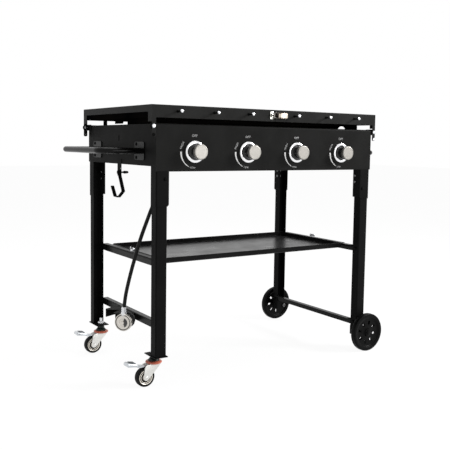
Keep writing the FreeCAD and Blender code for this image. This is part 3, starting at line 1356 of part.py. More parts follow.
make_griddle()
make_latch()
make_gas_train()
for index in range(4):
    make_stem(index)
    make_knob(index)
make_burners()
make_burner_rests()
make_handle("handle_left", -1)
make_handle("handle_right", 1)
make_tank_hook()
make_wheel("wheel_front", -1)
make_wheel("wheel_back", 1)
make_caster(-1, "front")
make_caster(1, "back")
make_caster_stems()
make_frame_bolts()
make_grease_cup()
make_hose()
make_regulator()
doc.recompute()

broken = [o.Name for o in doc.Objects if {"Invalid", "Error"} & set(o.State)]
if broken:
    raise RuntimeError("failed objects: %s" % ", ".join(broken))
for node, feature in parts.items():
    shape = feature.Shape
    if shape.isNull() or not shape.isValid() or not shape.Solids:
        raise RuntimeError("bad shape: " + node)
for node, feature in parts.items():
    feature.Shape.exportStep(os.path.join("parts", node + ".step"))
print(len(parts), "parts written")
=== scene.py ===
# %% [markdown]
# # A gas griddle station on wheels
# The real object is a flat-top griddle in a black sheet-steel box, on four bolted legs. Two folding shelves
# cover the griddle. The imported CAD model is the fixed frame: its sheets, legs and bars stay as they are and
# get painted here. The turned, moulded and pressed pieces and the fasteners are modelled again with more
# detail.

# %% Load the frame
import math

import bpy
from mathutils import Matrix, Vector


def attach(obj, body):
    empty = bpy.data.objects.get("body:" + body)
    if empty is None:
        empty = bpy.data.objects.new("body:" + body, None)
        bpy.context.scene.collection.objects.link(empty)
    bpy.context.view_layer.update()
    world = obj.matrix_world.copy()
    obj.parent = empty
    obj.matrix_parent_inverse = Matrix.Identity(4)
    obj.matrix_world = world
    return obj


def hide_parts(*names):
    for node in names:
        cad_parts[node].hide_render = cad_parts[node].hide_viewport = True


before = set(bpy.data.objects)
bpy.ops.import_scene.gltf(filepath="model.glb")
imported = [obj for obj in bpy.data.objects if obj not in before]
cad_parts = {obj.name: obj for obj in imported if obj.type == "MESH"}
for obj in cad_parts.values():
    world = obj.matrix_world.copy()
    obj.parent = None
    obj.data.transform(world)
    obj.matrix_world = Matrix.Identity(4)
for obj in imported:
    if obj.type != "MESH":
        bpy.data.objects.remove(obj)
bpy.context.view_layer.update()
MM = 0.001

# %% [markdown]
# ## The camera
# The photograph was taken from the left front, a little above the control panel. Its place and turn came
# from fitting the corners of the box and the feet. The lens is a short telephoto, so the box narrows only a
# little. The photograph is a crop, which a small shift of the lens repeats. The camera could be placed by
# eye, but only a fitted one lets the shapes be compared with the photograph.

# %% Place the camera
camera_data = bpy.data.cameras.new("photo_camera")
camera = bpy.data.objects.new("photo_camera", camera_data)
bpy.context.scene.collection.objects.link(camera)
bpy.context.scene.camera = camera

YAW = math.radians(33.59)
PITCH = math.radians(4.91)
ROLL = math.radians(0.89)
CAMERA_PLACE = (-1.4956, -2.2588, 0.8025)
PHOTO_WIDTH = 450
FOCAL_PIXELS = 704.15
MIDDLE_PIXEL = (231.24, 204.03)
FILM_WIDTH = 36

forward = Vector((math.sin(YAW) * math.cos(PITCH), math.cos(YAW) * math.cos(PITCH), -math.sin(PITCH)))
level_right = forward.cross(Vector((0, 0, 1))).normalized()
level_up = level_right.cross(forward)
right = level_right * math.cos(ROLL) + level_up * math.sin(ROLL)
up = level_up * math.cos(ROLL) - level_right * math.sin(ROLL)
turn = Matrix((right, up, -forward)).transposed()
camera.matrix_world = Matrix.Translation(CAMERA_PLACE) @ turn.to_4x4()
camera_data.sensor_width = FILM_WIDTH
camera_data.lens = FOCAL_PIXELS / PHOTO_WIDTH * FILM_WIDTH
camera_data.shift_x = 0.5 - MIDDLE_PIXEL[0] / PHOTO_WIDTH
camera_data.shift_y = MIDDLE_PIXEL[1] / PHOTO_WIDTH - 0.5
print("lens %.1f mm" % camera_data.lens)

# %% [markdown]
# ## The floor
# A product photograph like this one stands on a white sweep, so the floor is a large pale plane. It glows
# only for the camera and in reflections, and keeps a faint shadow of its own under that glow. Light Path
# tells these rays apart from the light that falls on things.

# %% Lay the floor
FLOOR_SIZE = 40
FLOOR_WHITE = (0.93, 0.93, 0.93, 1)
FLOOR_GLOW = 1.06
GLOW_SHARE = 0.86


def deselect():
    if bpy.context.object and bpy.context.object.mode == "EDIT":
        bpy.ops.object.mode_set(mode="OBJECT")
    bpy.ops.object.select_all(action="DESELECT")


def seen_directly(nodes, links):
    """Gives 1 to rays from the camera, a shiny surface or glass, and 0 to the light that falls on things."""
    path = nodes.new("ShaderNodeLightPath")
    shiny = nodes.new("ShaderNodeMath")
    shiny.operation = "MAXIMUM"
    either = nodes.new("ShaderNodeMath")
    either.operation = "MAXIMUM"
    links.new(path.outputs["Is Glossy Ray"], shiny.inputs[0])
    links.new(path.outputs["Is Transmission Ray"], shiny.inputs[1])
    links.new(path.outputs["Is Camera Ray"], either.inputs[0])
    links.new(shiny.outputs["Value"], either.inputs[1])
    return either.outputs["Value"]


deselect()
bpy.ops.mesh.primitive_plane_add(size=FLOOR_SIZE, location=(0, 0, 0))
floor = bpy.context.object
floor.name = "floor"
bpy.ops.object.transform_apply(location=True, rotation=True, scale=True)
floor_paint = bpy.data.materials.new("floor_white")
floor_paint.use_nodes = True
floor_nodes, floor_links = floor_paint.node_tree.nodes, floor_paint.node_tree.links
floor_shader = floor_nodes["Principled BSDF"]
floor_shader.inputs["Base Color"].default_value = FLOOR_WHITE
floor_shader.inputs["Roughness"].default_value = 0.9
floor_shader.inputs["Specular IOR Level"].default_value = 0.1
part_seen = floor_nodes.new("ShaderNodeMapRange")
part_seen.inputs["To Max"].default_value = GLOW_SHARE
glow = floor_nodes.new("ShaderNodeEmission")
glow.inputs["Strength"].default_value = FLOOR_GLOW
blend = floor_nodes.new("ShaderNodeMixShader")
floor_links.new(seen_directly(floor_nodes, floor_links), part_seen.inputs["Value"])
floor_links.new(part_seen.outputs["Result"], blend.inputs["Fac"])
floor_links.new(floor_shader.outputs["BSDF"], blend.inputs[1])
floor_links.new(glow.outputs["Emission"], blend.inputs[2])
floor_links.new(blend.outputs["Shader"], floor_nodes["Material Output"].inputs["Surface"])
floor.data.materials.append(floor_paint)
print("floor: %d m wide" % FLOOR_SIZE)

# %% [markdown]
# ## The light
# The world is white to the camera but dimmer for the lighting, so that black paint keeps its depth. One
# strength for both would grey either the paint or the background, so Light Path gives the rays that are
# seen directly a strength of their own.

# %% Light the world
LIGHTING_STRENGTH = 0.46
SEEN_STRENGTH = 1.0

world = bpy.data.worlds.new("studio")
bpy.context.scene.world = world
world.use_nodes = True
world_nodes, world_links = world.node_tree.nodes, world.node_tree.links
background = world_nodes["Background"]
background.inputs["Color"].default_value = (1, 1, 1, 1)
brightness = world_nodes.new("ShaderNodeMapRange")
brightness.inputs["To Min"].default_value = LIGHTING_STRENGTH
brightness.inputs["To Max"].default_value = SEEN_STRENGTH
world_links.new(seen_directly(world_nodes, world_links), brightness.inputs["Value"])
world_links.new(brightness.outputs["Result"], background.inputs["Strength"])
print("world's strength for the lighting: %.2f" % LIGHTING_STRENGTH)

# %% [markdown]
# Three lamps do the rest. The main one hangs above the right front, because the pegs' shadows in the
# photograph fall to the lower left. A weak one stands where the left end of the control panel mirrors it,
# and a wide one hangs high above the shelves.

# %% Hang the lamps
def lamp(name, place, target, size, watts):
    """A rectangular lamp at a place, aimed at a target."""
    data = bpy.data.lights.new(name, "AREA")
    data.shape = "RECTANGLE"
    data.size, data.size_y = size
    data.energy = watts
    piece = bpy.data.objects.new(name, data)
    bpy.context.scene.collection.objects.link(piece)
    piece.location = place
    piece.rotation_euler = (Vector(target) - Vector(place)).to_track_quat("-Z", "Y").to_euler()


lamp("key", (2.7, -2.2, 2.1), (0, -0.2, 0.75), (0.8, 0.8), 92)
lamp("sheen", (0.55, -2.5, 1.0), (-0.3, -0.3, 0.8), (0.9, 1.2), 10)
lamp("top", (0.2, 0.4, 3.4), (0, 0, 0.8), (2.4, 2.0), 44)
bpy.context.scene.view_settings.view_transform = "Standard"
print("lamps:", len(bpy.data.lights))

# %% [markdown]
# ## The gas hose
# A rubber hose leaves the manifold inside the box, drops behind the front left leg and hangs down to the
# regulator. It is a smooth NURBS line with a round section. Its control points are the route of the CAD
# model, so the hose hangs where the solid hangs. A pipe of turned pieces could be used too, but a curve
# bends evenly and keeps its section round.

# %% Hang the hose
HOSE_ROUTE = [
    (-0.403, -0.2235, 0.738), (-0.403, -0.222, 0.712), (-0.407, -0.216, 0.672), (-0.420, -0.204, 0.630),
    (-0.438, -0.196, 0.590), (-0.455, -0.196, 0.548), (-0.468, -0.188, 0.506), (-0.478, -0.177, 0.462),
    (-0.485, -0.165, 0.418), (-0.492, -0.152, 0.372), (-0.499, -0.141, 0.324), (-0.504, -0.134, 0.286),
    (-0.506, -0.130, 0.252),
]
HOSE_RADIUS = 0.00625

hose_data = bpy.data.curves.new("gas_hose_rubber", "CURVE")
hose_data.dimensions = "3D"
hose_line = hose_data.splines.new("NURBS")
hose_line.points.add(len(HOSE_ROUTE) - 1)
for point, place in zip(hose_line.points, HOSE_ROUTE):
    point.co = (*place, 1)
hose_line.order_u = 3
hose_line.use_endpoint_u = True
hose_line.resolution_u = 12
hose_data.bevel_depth = HOSE_RADIUS
hose_data.bevel_resolution = 6
hose_data.use_fill_caps = True
hose = bpy.data.objects.new("gas_hose_rubber", hose_data)
bpy.context.scene.collection.objects.link(hose)
print("hose points:", len(HOSE_ROUTE))

# %% [markdown]
# ## Finishes
# Each finish below is one material. A noise texture on object coordinates shades its colour, changes its
# gloss and raises its surface, so the grain has the same size on every piece. One helper starts a material,
# one makes the noise, and three let the noise act on it. Picture textures could do the same, but a noise
# needs no file and shows no seams.

# %% Start a finish
def new_finish(name, colour, roughness, metallic=0.0):
    """A material with its main shader ready: returns the material, its nodes, its links and the shader."""
    material = bpy.data.materials.new(name)
    material.use_nodes = True
    material.diffuse_color = (*colour, 1)
    nodes, links = material.node_tree.nodes, material.node_tree.links
    shader = nodes["Principled BSDF"]
    shader.inputs["Base Color"].default_value = (*colour, 1)
    shader.inputs["Roughness"].default_value = roughness
    shader.inputs["Metallic"].default_value = metallic
    return material, nodes, links, shader


def spread(nodes, links, scale, detail=3, stretch=(1, 1, 1)):
    """A noise pattern on object coordinates; stretch above 1 squeezes it along that axis."""
    place = nodes.new("ShaderNodeTexCoord")
    mapping = nodes.new("ShaderNodeMapping")
    mapping.inputs["Scale"].default_value = stretch
    noise = nodes.new("ShaderNodeTexNoise")
    noise.inputs["Scale"].default_value = scale
    noise.inputs["Detail"].default_value = detail
    links.new(place.outputs["Object"], mapping.inputs["Vector"])
    links.new(mapping.outputs["Vector"], noise.inputs["Vector"])
    return noise


def vary(nodes, links, pattern, shader, socket, low, high):
    """Lets a pattern drive one of the shader's values between two limits."""
    limits = nodes.new("ShaderNodeMapRange")
    limits.inputs["From Min"].default_value = 0.3
    limits.inputs["From Max"].default_value = 0.7
    limits.inputs["To Min"].default_value = low
    limits.inputs["To Max"].default_value = high
    links.new(pattern.outputs[0], limits.inputs["Value"])
    links.new(limits.outputs["Result"], shader.inputs[socket])


def tint(nodes, links, pattern, shader, dark, light):
    """Lets a pattern shade the base colour between two tones."""
    ramp = nodes.new("ShaderNodeValToRGB")
    ramp.color_ramp.elements[0].position = 0.35
    ramp.color_ramp.elements[1].position = 0.65
    ramp.color_ramp.elements[0].color = (*dark, 1)
    ramp.color_ramp.elements[1].color = (*light, 1)
    links.new(pattern.outputs[0], ramp.inputs["Fac"])
    links.new(ramp.outputs["Color"], shader.inputs["Base Color"])


def grain(nodes, links, pattern, shader, strength, depth):
    """Raises the surface a little where the pattern is light."""
    bump = nodes.new("ShaderNodeBump")
    bump.inputs["Strength"].default_value = strength
    bump.inputs["Distance"].default_value = depth
    links.new(pattern.outputs[0], bump.inputs["Height"])
    links.new(bump.outputs["Normal"], shader.inputs["Normal"])


print("helpers for finishes ready")

# %% [markdown]
# ## Powder coats
# Most of this griddle is powder coated steel. Powder coat is a baked plastic skin: nearly black, a little
# glossy, with a fine pebbled grain that breaks up highlights. A fine noise gives the pebbles, and a wide
# one gives faint clouds in the tone and the gloss.

# %% Black powder coats
def powder_coat(name, colour, gloss, pebble, shine):
    """A baked coat with faint clouds in its tone and gloss and a fine pebbled grain."""
    material, nodes, links, shader = new_finish(name, colour, gloss)
    shader.inputs["Specular IOR Level"].default_value = shine
    cloud = spread(nodes, links, 14)
    pebbles = spread(nodes, links, pebble, detail=2)
    vary(nodes, links, cloud, shader, "Roughness", gloss - 0.05, gloss + 0.06)
    tint(nodes, links, cloud, shader, tuple(c * 0.88 for c in colour), tuple(c * 1.12 for c in colour))
    grain(nodes, links, pebbles, shader, 0.16, 0.0003)
    return material


sheet_coat = powder_coat("black_sheet_coat", (0.0120, 0.0120, 0.0116), 0.40, 700, shine=0.03)
# The side panels carry the same black coat as the front, made darker here as painted shade.
shaded_side_coat = powder_coat("painted_shade_side_coat", (0.0080, 0.0080, 0.0077), 0.42, 700, shine=0.02)
# The shelves carry the same black coat as well, made lighter here as painted light.
lit_shelf_coat = powder_coat("painted_light_shelf_coat", (0.0170, 0.0170, 0.0164), 0.38, 700, shine=0.04)
bar_coat = powder_coat("glossy_bar_coat", (0.0045, 0.0045, 0.0045), 0.26, 620, shine=0.09)
leg_coat = powder_coat("black_leg_coat", (0.0060, 0.0060, 0.0060), 0.46, 620, shine=0.03)
tray_coat = powder_coat("glossy_tray_coat", (0.0090, 0.0089, 0.0090), 0.30, 520, shine=0.32)
bracket_coat = powder_coat("black_bracket_coat", (0.0040, 0.0040, 0.0040), 0.5, 500, shine=0.03)
tube_coat = powder_coat("glossy_tube_coat", (0.0030, 0.0029, 0.0028), 0.24, 500, shine=0.12)
print("powder coats:", len([m for m in bpy.data.materials if m.name.endswith("_coat")]))

# %% [markdown]
# ## The tray's sheen
# Only the tray's level floor mirrors the white surroundings at this low view. Its narrow lips are upright
# and look plain black. The coat therefore keeps its sheen only at the height of the floor. Faces with a
# finish of their own could do it too, but the tray comes from the frame, and its mesh is left alone.

# %% Keep the sheen on the tray's floor
TRAY_FLOOR = 0.4015
FLOOR_REACH = 0.0008
LIP_SHINE = 0.03
FLOOR_SHINE = 0.32


def shine_at_height(material, height):
    """Full sheen where a face lies at this height, and nearly none above and below."""
    nodes, links = material.node_tree.nodes, material.node_tree.links
    place = nodes.new("ShaderNodeTexCoord")
    apart = nodes.new("ShaderNodeSeparateXYZ")
    level = nodes.new("ShaderNodeMath")
    level.operation = "COMPARE"
    level.inputs[1].default_value = height
    level.inputs[2].default_value = FLOOR_REACH
    amount = nodes.new("ShaderNodeMapRange")
    amount.inputs["To Min"].default_value = LIP_SHINE
    amount.inputs["To Max"].default_value = FLOOR_SHINE
    links.new(place.outputs["Object"], apart.inputs["Vector"])
    links.new(apart.outputs["Z"], level.inputs[0])
    links.new(level.outputs["Value"], amount.inputs["Value"])
    links.new(amount.outputs["Result"], nodes["Principled BSDF"].inputs["Specular IOR Level"])


shine_at_height(tray_coat, TRAY_FLOOR)
print("tray floor at %.4f m" % TRAY_FLOOR)

# %% [markdown]
# ## Bare and plated metals
# Bolts and wing nuts are zinc plated, the latch has the yellow cast of passivated zinc, and the rings round
# the knobs are chrome. All of them are full metals; what tells them apart is colour, roughness and the kind
# of scratches. A drawn tube gets a noise that is squeezed across its length, so it becomes long fine lines.

# %% Metals
def metal(name, colour, roughness, scale=90, stretch=(1, 1, 1), strength=0.08, change=0.1):
    """A full metal: clouds in its tone, and fine lines in its gloss and its surface."""
    material, nodes, links, shader = new_finish(name, colour, roughness, metallic=1.0)
    lines = spread(nodes, links, scale, detail=4, stretch=stretch)
    clouds = spread(nodes, links, scale / 8)
    vary(nodes, links, lines, shader, "Roughness", roughness - change / 2, roughness + change / 2)
    tint(nodes, links, clouds, shader, tuple(c * 0.9 for c in colour), colour)
    grain(nodes, links, lines, shader, strength, 0.0001)
    return material


zinc_plate = metal("bright_zinc_plate", (0.74, 0.75, 0.77), 0.30, scale=160)
dark_zinc = metal("dull_zinc_plate", (0.15, 0.15, 0.15), 0.40, scale=160)
white_zinc = metal("white_zinc_plate", (0.78, 0.775, 0.745), 0.34, scale=110)
chrome = metal("chrome_plate", (0.90, 0.90, 0.91), 0.07, scale=60, strength=0.01, change=0.03)
yellow_zinc = metal("yellow_zinc_plate", (0.62, 0.545, 0.47), 0.32, scale=140)
strike_zinc = metal("pale_strike_plate", (0.88, 0.87, 0.81), 0.26, scale=140)
loop_zinc = metal("dull_loop_plate", (0.30, 0.285, 0.27), 0.32, scale=140)
pressed_zinc = metal("pressed_pedal_plate", (0.60, 0.625, 0.65), 0.22, scale=90)
dark_plate_and_shade = metal("dark_plate_and_painted_shade", (0.016, 0.012, 0.009), 0.5, scale=140)
valve_brass = metal("valve_brass", (0.72, 0.53, 0.24), 0.33, scale=120)
tube_steel = metal("burner_tube_steel", (0.62, 0.60, 0.57), 0.36, scale=220, stretch=(1, 0.06, 1))
pipe_steel = metal("manifold_steel", (0.60, 0.61, 0.62), 0.38, scale=220, stretch=(0.06, 1, 1))
cup_alloy = metal("grease_cup_alloy", (0.72, 0.73, 0.74), 0.36, scale=200, stretch=(1, 1, 0.1))
cast_alloy = metal("regulator_alloy", (0.64, 0.61, 0.565), 0.36, scale=420, strength=0.3)
painted_shade_alloy = metal("regulator_painted_shade", (0.085, 0.085, 0.085), 0.42, scale=420, strength=0.3)
rim_zinc = metal("warm_rim_plate", (0.96, 0.91, 0.82), 0.34, scale=110)
print("metals:", len([m for m in bpy.data.materials if m.node_tree and "plate" in m.name]), "plated")

# %% [markdown]
# The griddle plate is bare steel that has been oiled and burnt in, so its colour drifts between brown and
# blue black. Two noises of very different size are mixed: a wide one for the drift, a small one for the
# grain. One dark colour would look like paint.

# %% Season the steel
def seasoned_steel():
    """Oiled and burnt-in steel: nearly black, and too rough to mirror anything at a flat angle."""
    material, nodes, links, shader = new_finish("seasoned_griddle_steel", (0.002, 0.002, 0.002), 0.45, 0.0)
    shader.inputs["Specular IOR Level"].default_value = 0.0
    drift = spread(nodes, links, 6, detail=5)
    fine = spread(nodes, links, 380, detail=2)
    tint(nodes, links, drift, shader, (0.0020, 0.0020, 0.0022), (0.0060, 0.0050, 0.0042))
    vary(nodes, links, drift, shader, "Roughness", 0.34, 0.52)
    grain(nodes, links, fine, shader, 0.25, 0.0003)
    return material


griddle_steel = seasoned_steel()
print("griddle:", griddle_steel.name)

# %% [markdown]
# Knobs, wheels and handwheel are moulded plastic, and treads and hose are rubber. None of them holds any
# metal, so a fine even grain and faint clouds in the gloss are enough. The same helper gives the small
# paints and the printing inks.

# %% Plastics, rubber and paints
def moulded(name, colour, roughness, scale=500, strength=0.12, shine=0.5):
    """Moulded plastic or rubber: no metal, a fine even grain and faint clouds in the gloss."""
    material, nodes, links, shader = new_finish(name, colour, roughness)
    shader.inputs["Specular IOR Level"].default_value = shine
    fine = spread(nodes, links, scale, detail=2)
    clouds = spread(nodes, links, 25)
    vary(nodes, links, clouds, shader, "Roughness", roughness - 0.05, roughness + 0.05)
    tint(nodes, links, clouds, shader, tuple(c * 0.85 for c in colour), tuple(c * 1.15 for c in colour))
    grain(nodes, links, fine, shader, strength, 0.0003)
    return material


knob_plastic = moulded("knob_black_plastic", (0.0060, 0.0060, 0.0064), 0.26, scale=800, shine=0.45)
wheel_plastic = moulded("wheel_black_plastic", (0.0024, 0.0024, 0.0024), 0.30, shine=0.07)
tread_rubber = moulded("tread_rubber", (0.0040, 0.0040, 0.0038), 0.6, scale=300, strength=0.25, shine=0.15)
hose_rubber = moulded("hose_black_rubber", (0.0035, 0.0035, 0.0036), 0.42, scale=600, shine=0.16)
handwheel_plastic = moulded("coupling_black_plastic", (0.0045, 0.0045, 0.0048), 0.4, shine=0.18)
collar_paint = moulded("dark_green_collar", (0.0060, 0.0110, 0.0085), 0.35, shine=0.2)
groove_shade = moulded("rim_groove_painted_shade", (0.020, 0.018, 0.014), 0.5, shine=0.1)
red_cover = moulded("red_swivel_cover", (0.60, 0.15, 0.09), 0.34, scale=300, strength=0.06)
pad_and_reflection = moulded("pedal_pad_painted_reflection", (0.035, 0.045, 0.055), 0.45)
white_print = moulded("dial_white_print", (0.86, 0.86, 0.85), 0.5, scale=900, strength=0.03)
grey_print = moulded("dial_grey_print", (0.44, 0.44, 0.44), 0.5, scale=900, strength=0.03)
print("finishes in all:", len([m for m in bpy.data.materials if m.use_nodes]))

# %% [markdown]
# ## Dressing the frame
# The folded sheets, legs, bars and shelves already have their true shape in the frame, so here they only
# change their paint. The same goes for the burners and the gas pipes inside the box. Each node gets the
# finish of the real piece, and the side panels and shelves get it darker or lighter as painted shade and
# painted light. The nodes that are modelled again further on aren't painted.

# %% Paint the nodes that stay
PAINTED = {
    sheet_coat: ["front_panel", "back_panel"],
    shaded_side_coat: ["side_panel_left", "side_panel_right"],
    lit_shelf_coat: ["shelf_left", "shelf_right"],
    bar_coat: ["tray_bar_left", "tray_bar_right", "cross_bar_left", "cross_bar_right"],
    leg_coat: ["leg_front_left", "leg_front_right", "leg_back_left", "leg_back_right", "leg_sleeve_front_left",
               "leg_sleeve_front_right", "leg_sleeve_back_left", "leg_sleeve_back_right"],
    tray_coat: ["tray_shelf"],
    bracket_coat: ["shelf_brackets", "tank_rest", "tank_hook"],
    tube_coat: ["handle_left", "handle_right"],
    griddle_steel: ["griddle_plate"],
    zinc_plate: ["burner_rests"],
    tube_steel: ["burners"],
    pipe_steel: ["gas_manifold"],
    valve_brass: ["gas_valves", "valve_stem_1", "valve_stem_2", "valve_stem_3", "valve_stem_4"],
    cup_alloy: ["grease_cup"],
}


def paint(thing, finish):
    thing.data.materials.clear()
    thing.data.materials.append(finish)


for finish, names in PAINTED.items():
    for name in names:
        paint(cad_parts[name], finish)
print("painted nodes:", sum(len(names) for names in PAINTED.values()))

# %% [markdown]
# ## Turned pieces
# Every piece below is modelled as by hand: a primitive is put at its place and shaped in edit mode. Many
# small pieces of the real griddle are turned. Such a piece starts as one vertex, which is extruded along
# half of the section and spun about the axis. The doubled vertices are merged at the end. A cylinder could
# be inset and extruded step by step instead, but a drawn section keeps every radius in one readable list.

# %% Turn a piece
def start_line(name, first):
    """A new piece that is one vertex, selected in edit mode."""
    deselect()
    bpy.ops.mesh.primitive_plane_add(size=0.01, location=first)
    piece = bpy.context.object
    piece.name = piece.data.name = name
    bpy.ops.object.mode_set(mode="EDIT")
    bpy.ops.mesh.merge(type="CENTER")
    return piece


def draw_on(points):
    """Extrudes the selected vertex or section from point to point."""
    for before, after in zip(points, points[1:]):
        move = Vector(after) - Vector(before)
        bpy.ops.mesh.extrude_region_move(TRANSFORM_OT_translate={"value": move})


def tidy_mesh(distance=0.00002):
    """Merges doubled vertices and turns every face outward."""
    bpy.ops.mesh.select_all(action="SELECT")
    bpy.ops.mesh.remove_doubles(threshold=distance)
    bpy.ops.mesh.normals_make_consistent(inside=False)


def turned(name, base, axis, profile, steps=48):
    """A piece turned about an axis, from (distance along the axis, radius) pairs in millimetres."""
    axis = Vector(axis).normalized()
    side = axis.orthogonal().normalized()
    base = Vector(base)
    points = [base + axis * along * MM + side * radius * MM for along, radius in profile]
    piece = start_line(name, points[0])
    draw_on(points)
    bpy.ops.mesh.select_all(action="SELECT")
    bpy.ops.mesh.spin(steps=steps, angle=math.tau, center=base, axis=axis)
    tidy_mesh()
    bpy.ops.object.mode_set(mode="OBJECT")
    return piece


print("helpers for turning ready")

# %% [markdown]
# ## Finished pieces
# Finishing a piece puts its origin at the scene's origin, smooths it, gives it its finish and lets it ride
# on its body. Where a piece has two finishes, its faces are told apart by their place. Smoothing by angle
# leaves the sharp edges of turned and pressed metal sharp.

# %% Finish a piece
def select_only(piece):
    deselect()
    piece.select_set(True)
    bpy.context.view_layer.objects.active = piece


def finish_piece(piece, body, slot, *finishes, smooth=35):
    """Puts the origin back, smooths gentle edges, and gives the piece its finish and its body."""
    select_only(piece)
    bpy.ops.object.transform_apply(location=True, rotation=True, scale=True)
    bpy.ops.object.shade_smooth_by_angle(angle=math.radians(smooth))
    if len(piece.data.materials) == 0:
        for finish in finishes:
            piece.data.materials.append(finish)
    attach(piece, body)
    return piece


def use_finish(piece, index, test):
    """Gives the faces whose middle passes the test the piece's material number index."""
    for face in piece.data.polygons:
        if test(piece.matrix_world @ face.center):
            face.material_index = index


def two_finishes(piece, main, other, test):
    """The faces whose middle passes the test get the other finish."""
    piece.data.materials.append(main)
    piece.data.materials.append(other)
    use_finish(piece, 1, test)


print("helpers for finishing ready")

# %% [markdown]
# The hose gets its rubber here, now that the finish exists. It leaves the manifold's outlet and ends in the
# regulator, and the coupling that a gas bottle's valve takes is on the regulator's other side.

# %% Dress the hose
hose_data.materials.append(hose_rubber)
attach(hose, "stand")
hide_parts("gas_hose")
print("hose dressed")

# %% [markdown]
# ## Knobs
# Each knob has a black plastic skirt at the panel, a narrower black neck, and a satin aluminium cap that is
# turned on a lathe. The turning leaves fine rings about the knob's own axis. A wave texture in ring shape
# makes them; its Mapping node moves the centre to the knob, so each knob has its own copy of the finish.
# Modelled rings would need thousands of faces for the same gleam.

# %% Turn the knobs
KNOB_X = (-0.325, -0.1135, 0.098, 0.3095)
KNOB_Z = 0.774
PANEL_Y = -0.2755
OUT_OF_FRONT = (0, -1, 0)


def spun_metal(name, centre, colour, roughness):
    """Satin metal with lathe rings about a line through the centre that runs from front to back."""
    material, nodes, links, shader = new_finish(name, colour, roughness, metallic=1.0)
    place = nodes.new("ShaderNodeTexCoord")
    mapping = nodes.new("ShaderNodeMapping")
    mapping.inputs["Location"].default_value = tuple(-c for c in centre)
    rings = nodes.new("ShaderNodeTexWave")
    rings.wave_type = "RINGS"
    rings.rings_direction = "Y"
    rings.inputs["Scale"].default_value = 320
    rings.inputs["Distortion"].default_value = 1.5
    rings.inputs["Detail"].default_value = 2
    links.new(place.outputs["Object"], mapping.inputs["Vector"])
    links.new(mapping.outputs["Vector"], rings.inputs["Vector"])
    speckle = spread(nodes, links, 500, detail=3)
    tint(nodes, links, speckle, shader, tuple(c * 0.86 for c in colour), colour)
    vary(nodes, links, rings, shader, "Roughness", roughness - 0.06, roughness + 0.08)
    grain(nodes, links, rings, shader, 0.12, 0.0001)
    return material


KNOB_PROFILE = [
    (6, 0), (6, 25.5), (6.6, 26.4), (8, 26.4), (9, 25.6), (11, 23.4), (12.5, 22.6), (33.2, 22.4), (34, 23.5),
    (34.3, 24.6), (35, 25), (42.6, 25), (44, 24.3), (45, 22.8), (45, 21.6), (44.5, 21), (44.4, 0),
]
CAP_START = PANEL_Y - 34.2 * MM
CAP_COLOUR = (0.37, 0.355, 0.33)
for number, x in enumerate(KNOB_X, start=1):
    knob = turned("knob_cap_%d" % number, (x, PANEL_Y, KNOB_Z), OUT_OF_FRONT, KNOB_PROFILE, steps=64)
    cap = spun_metal("spun_cap_%d" % number, (x, 0, KNOB_Z), CAP_COLOUR, 0.40)
    two_finishes(knob, knob_plastic, cap, lambda c: c.y < CAP_START)
    finish_piece(knob, "knob_%d" % number, "knob_metal")
    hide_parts("knob_%d" % number)
print("knobs:", len(KNOB_X))

# %% [markdown]
# A chrome ring stands round each knob. Its section is a rounded rim and a wide, slightly crowned face that
# leans inward to the knob. The crown matters: a flat face would mirror one single direction, and a crowned
# one catches the bright studio all round. The first ring is turned, the others are copies.

# %% Turn the chrome rings
RING_PROFILE = [
    (0, 36.4), (4.4, 36.4), (6.4, 35.9), (7.5, 34.7), (8.2, 32.6), (8.6, 30), (8.8, 28), (8.3, 27.3), (0, 27.3),
    (0, 36.4),
]


def copied(piece, name, move):
    """A second piece with its own mesh, moved by a vector."""
    select_only(piece)
    bpy.ops.object.duplicate_move(TRANSFORM_OT_translate={"value": Vector(move)})
    twin = bpy.context.object
    twin.name = twin.data.name = name
    bpy.ops.object.transform_apply(location=True, rotation=False, scale=False)
    return twin


bezel = turned("chrome_ring_1", (KNOB_X[0], PANEL_Y, KNOB_Z), OUT_OF_FRONT, RING_PROFILE, steps=72)
rings = [bezel]
for number, x in enumerate(KNOB_X[1:], start=2):
    rings.append(copied(bezel, "chrome_ring_%d" % number, (x - KNOB_X[0], 0, 0)))
for ring in rings:
    finish_piece(ring, "stand", "chrome", chrome)
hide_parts("knob_bezels")
print("rings:", len(rings))

# %% [markdown]
# Round each ring the panel is printed: OFF above, HIGH at the upper left, LOW at the bottom, and a white
# arc that grows thin from high to low. The arc's outline is drawn point by point along two radii that draw
# together, filled with one face and extruded by the thickness of the ink. A texture could print it too, but
# raised ink keeps clean edges at any distance.

# %% Print the arcs
PRINT_Y = PANEL_Y - 0.00008
INK = 0.00012
ARC_RADIUS = 0.0535
ARC_START, ARC_END = 180, 247
ARC_STEPS = 28
WIDE, NARROW = 6.4, 1.1


def plate(name, outline, thickness):
    """A flat plate: an outline of points filled with one face and extruded by a vector."""
    piece = start_line(name, outline[0])
    draw_on(outline)
    bpy.ops.mesh.select_all(action="SELECT")
    bpy.ops.mesh.edge_face_add()
    bpy.ops.mesh.extrude_region_move(TRANSFORM_OT_translate={"value": thickness})
    tidy_mesh()
    bpy.ops.object.mode_set(mode="OBJECT")
    return piece


def dial_arc(name, x):
    """A thin band from the left of the ring down to its bottom, wide at its start and narrow at its end."""
    outer = []
    inner = []
    for index in range(ARC_STEPS + 1):
        share = index / ARC_STEPS
        angle = math.radians(ARC_START + (ARC_END - ARC_START) * share)
        reach = ARC_RADIUS - (WIDE * (1 - share) + NARROW * share) * MM
        outer.append((x + ARC_RADIUS * math.cos(angle), PRINT_Y, KNOB_Z + ARC_RADIUS * math.sin(angle)))
        inner.append((x + reach * math.cos(angle), PRINT_Y, KNOB_Z + reach * math.sin(angle)))
    return plate(name, outer + inner[::-1], (0, -INK, 0))


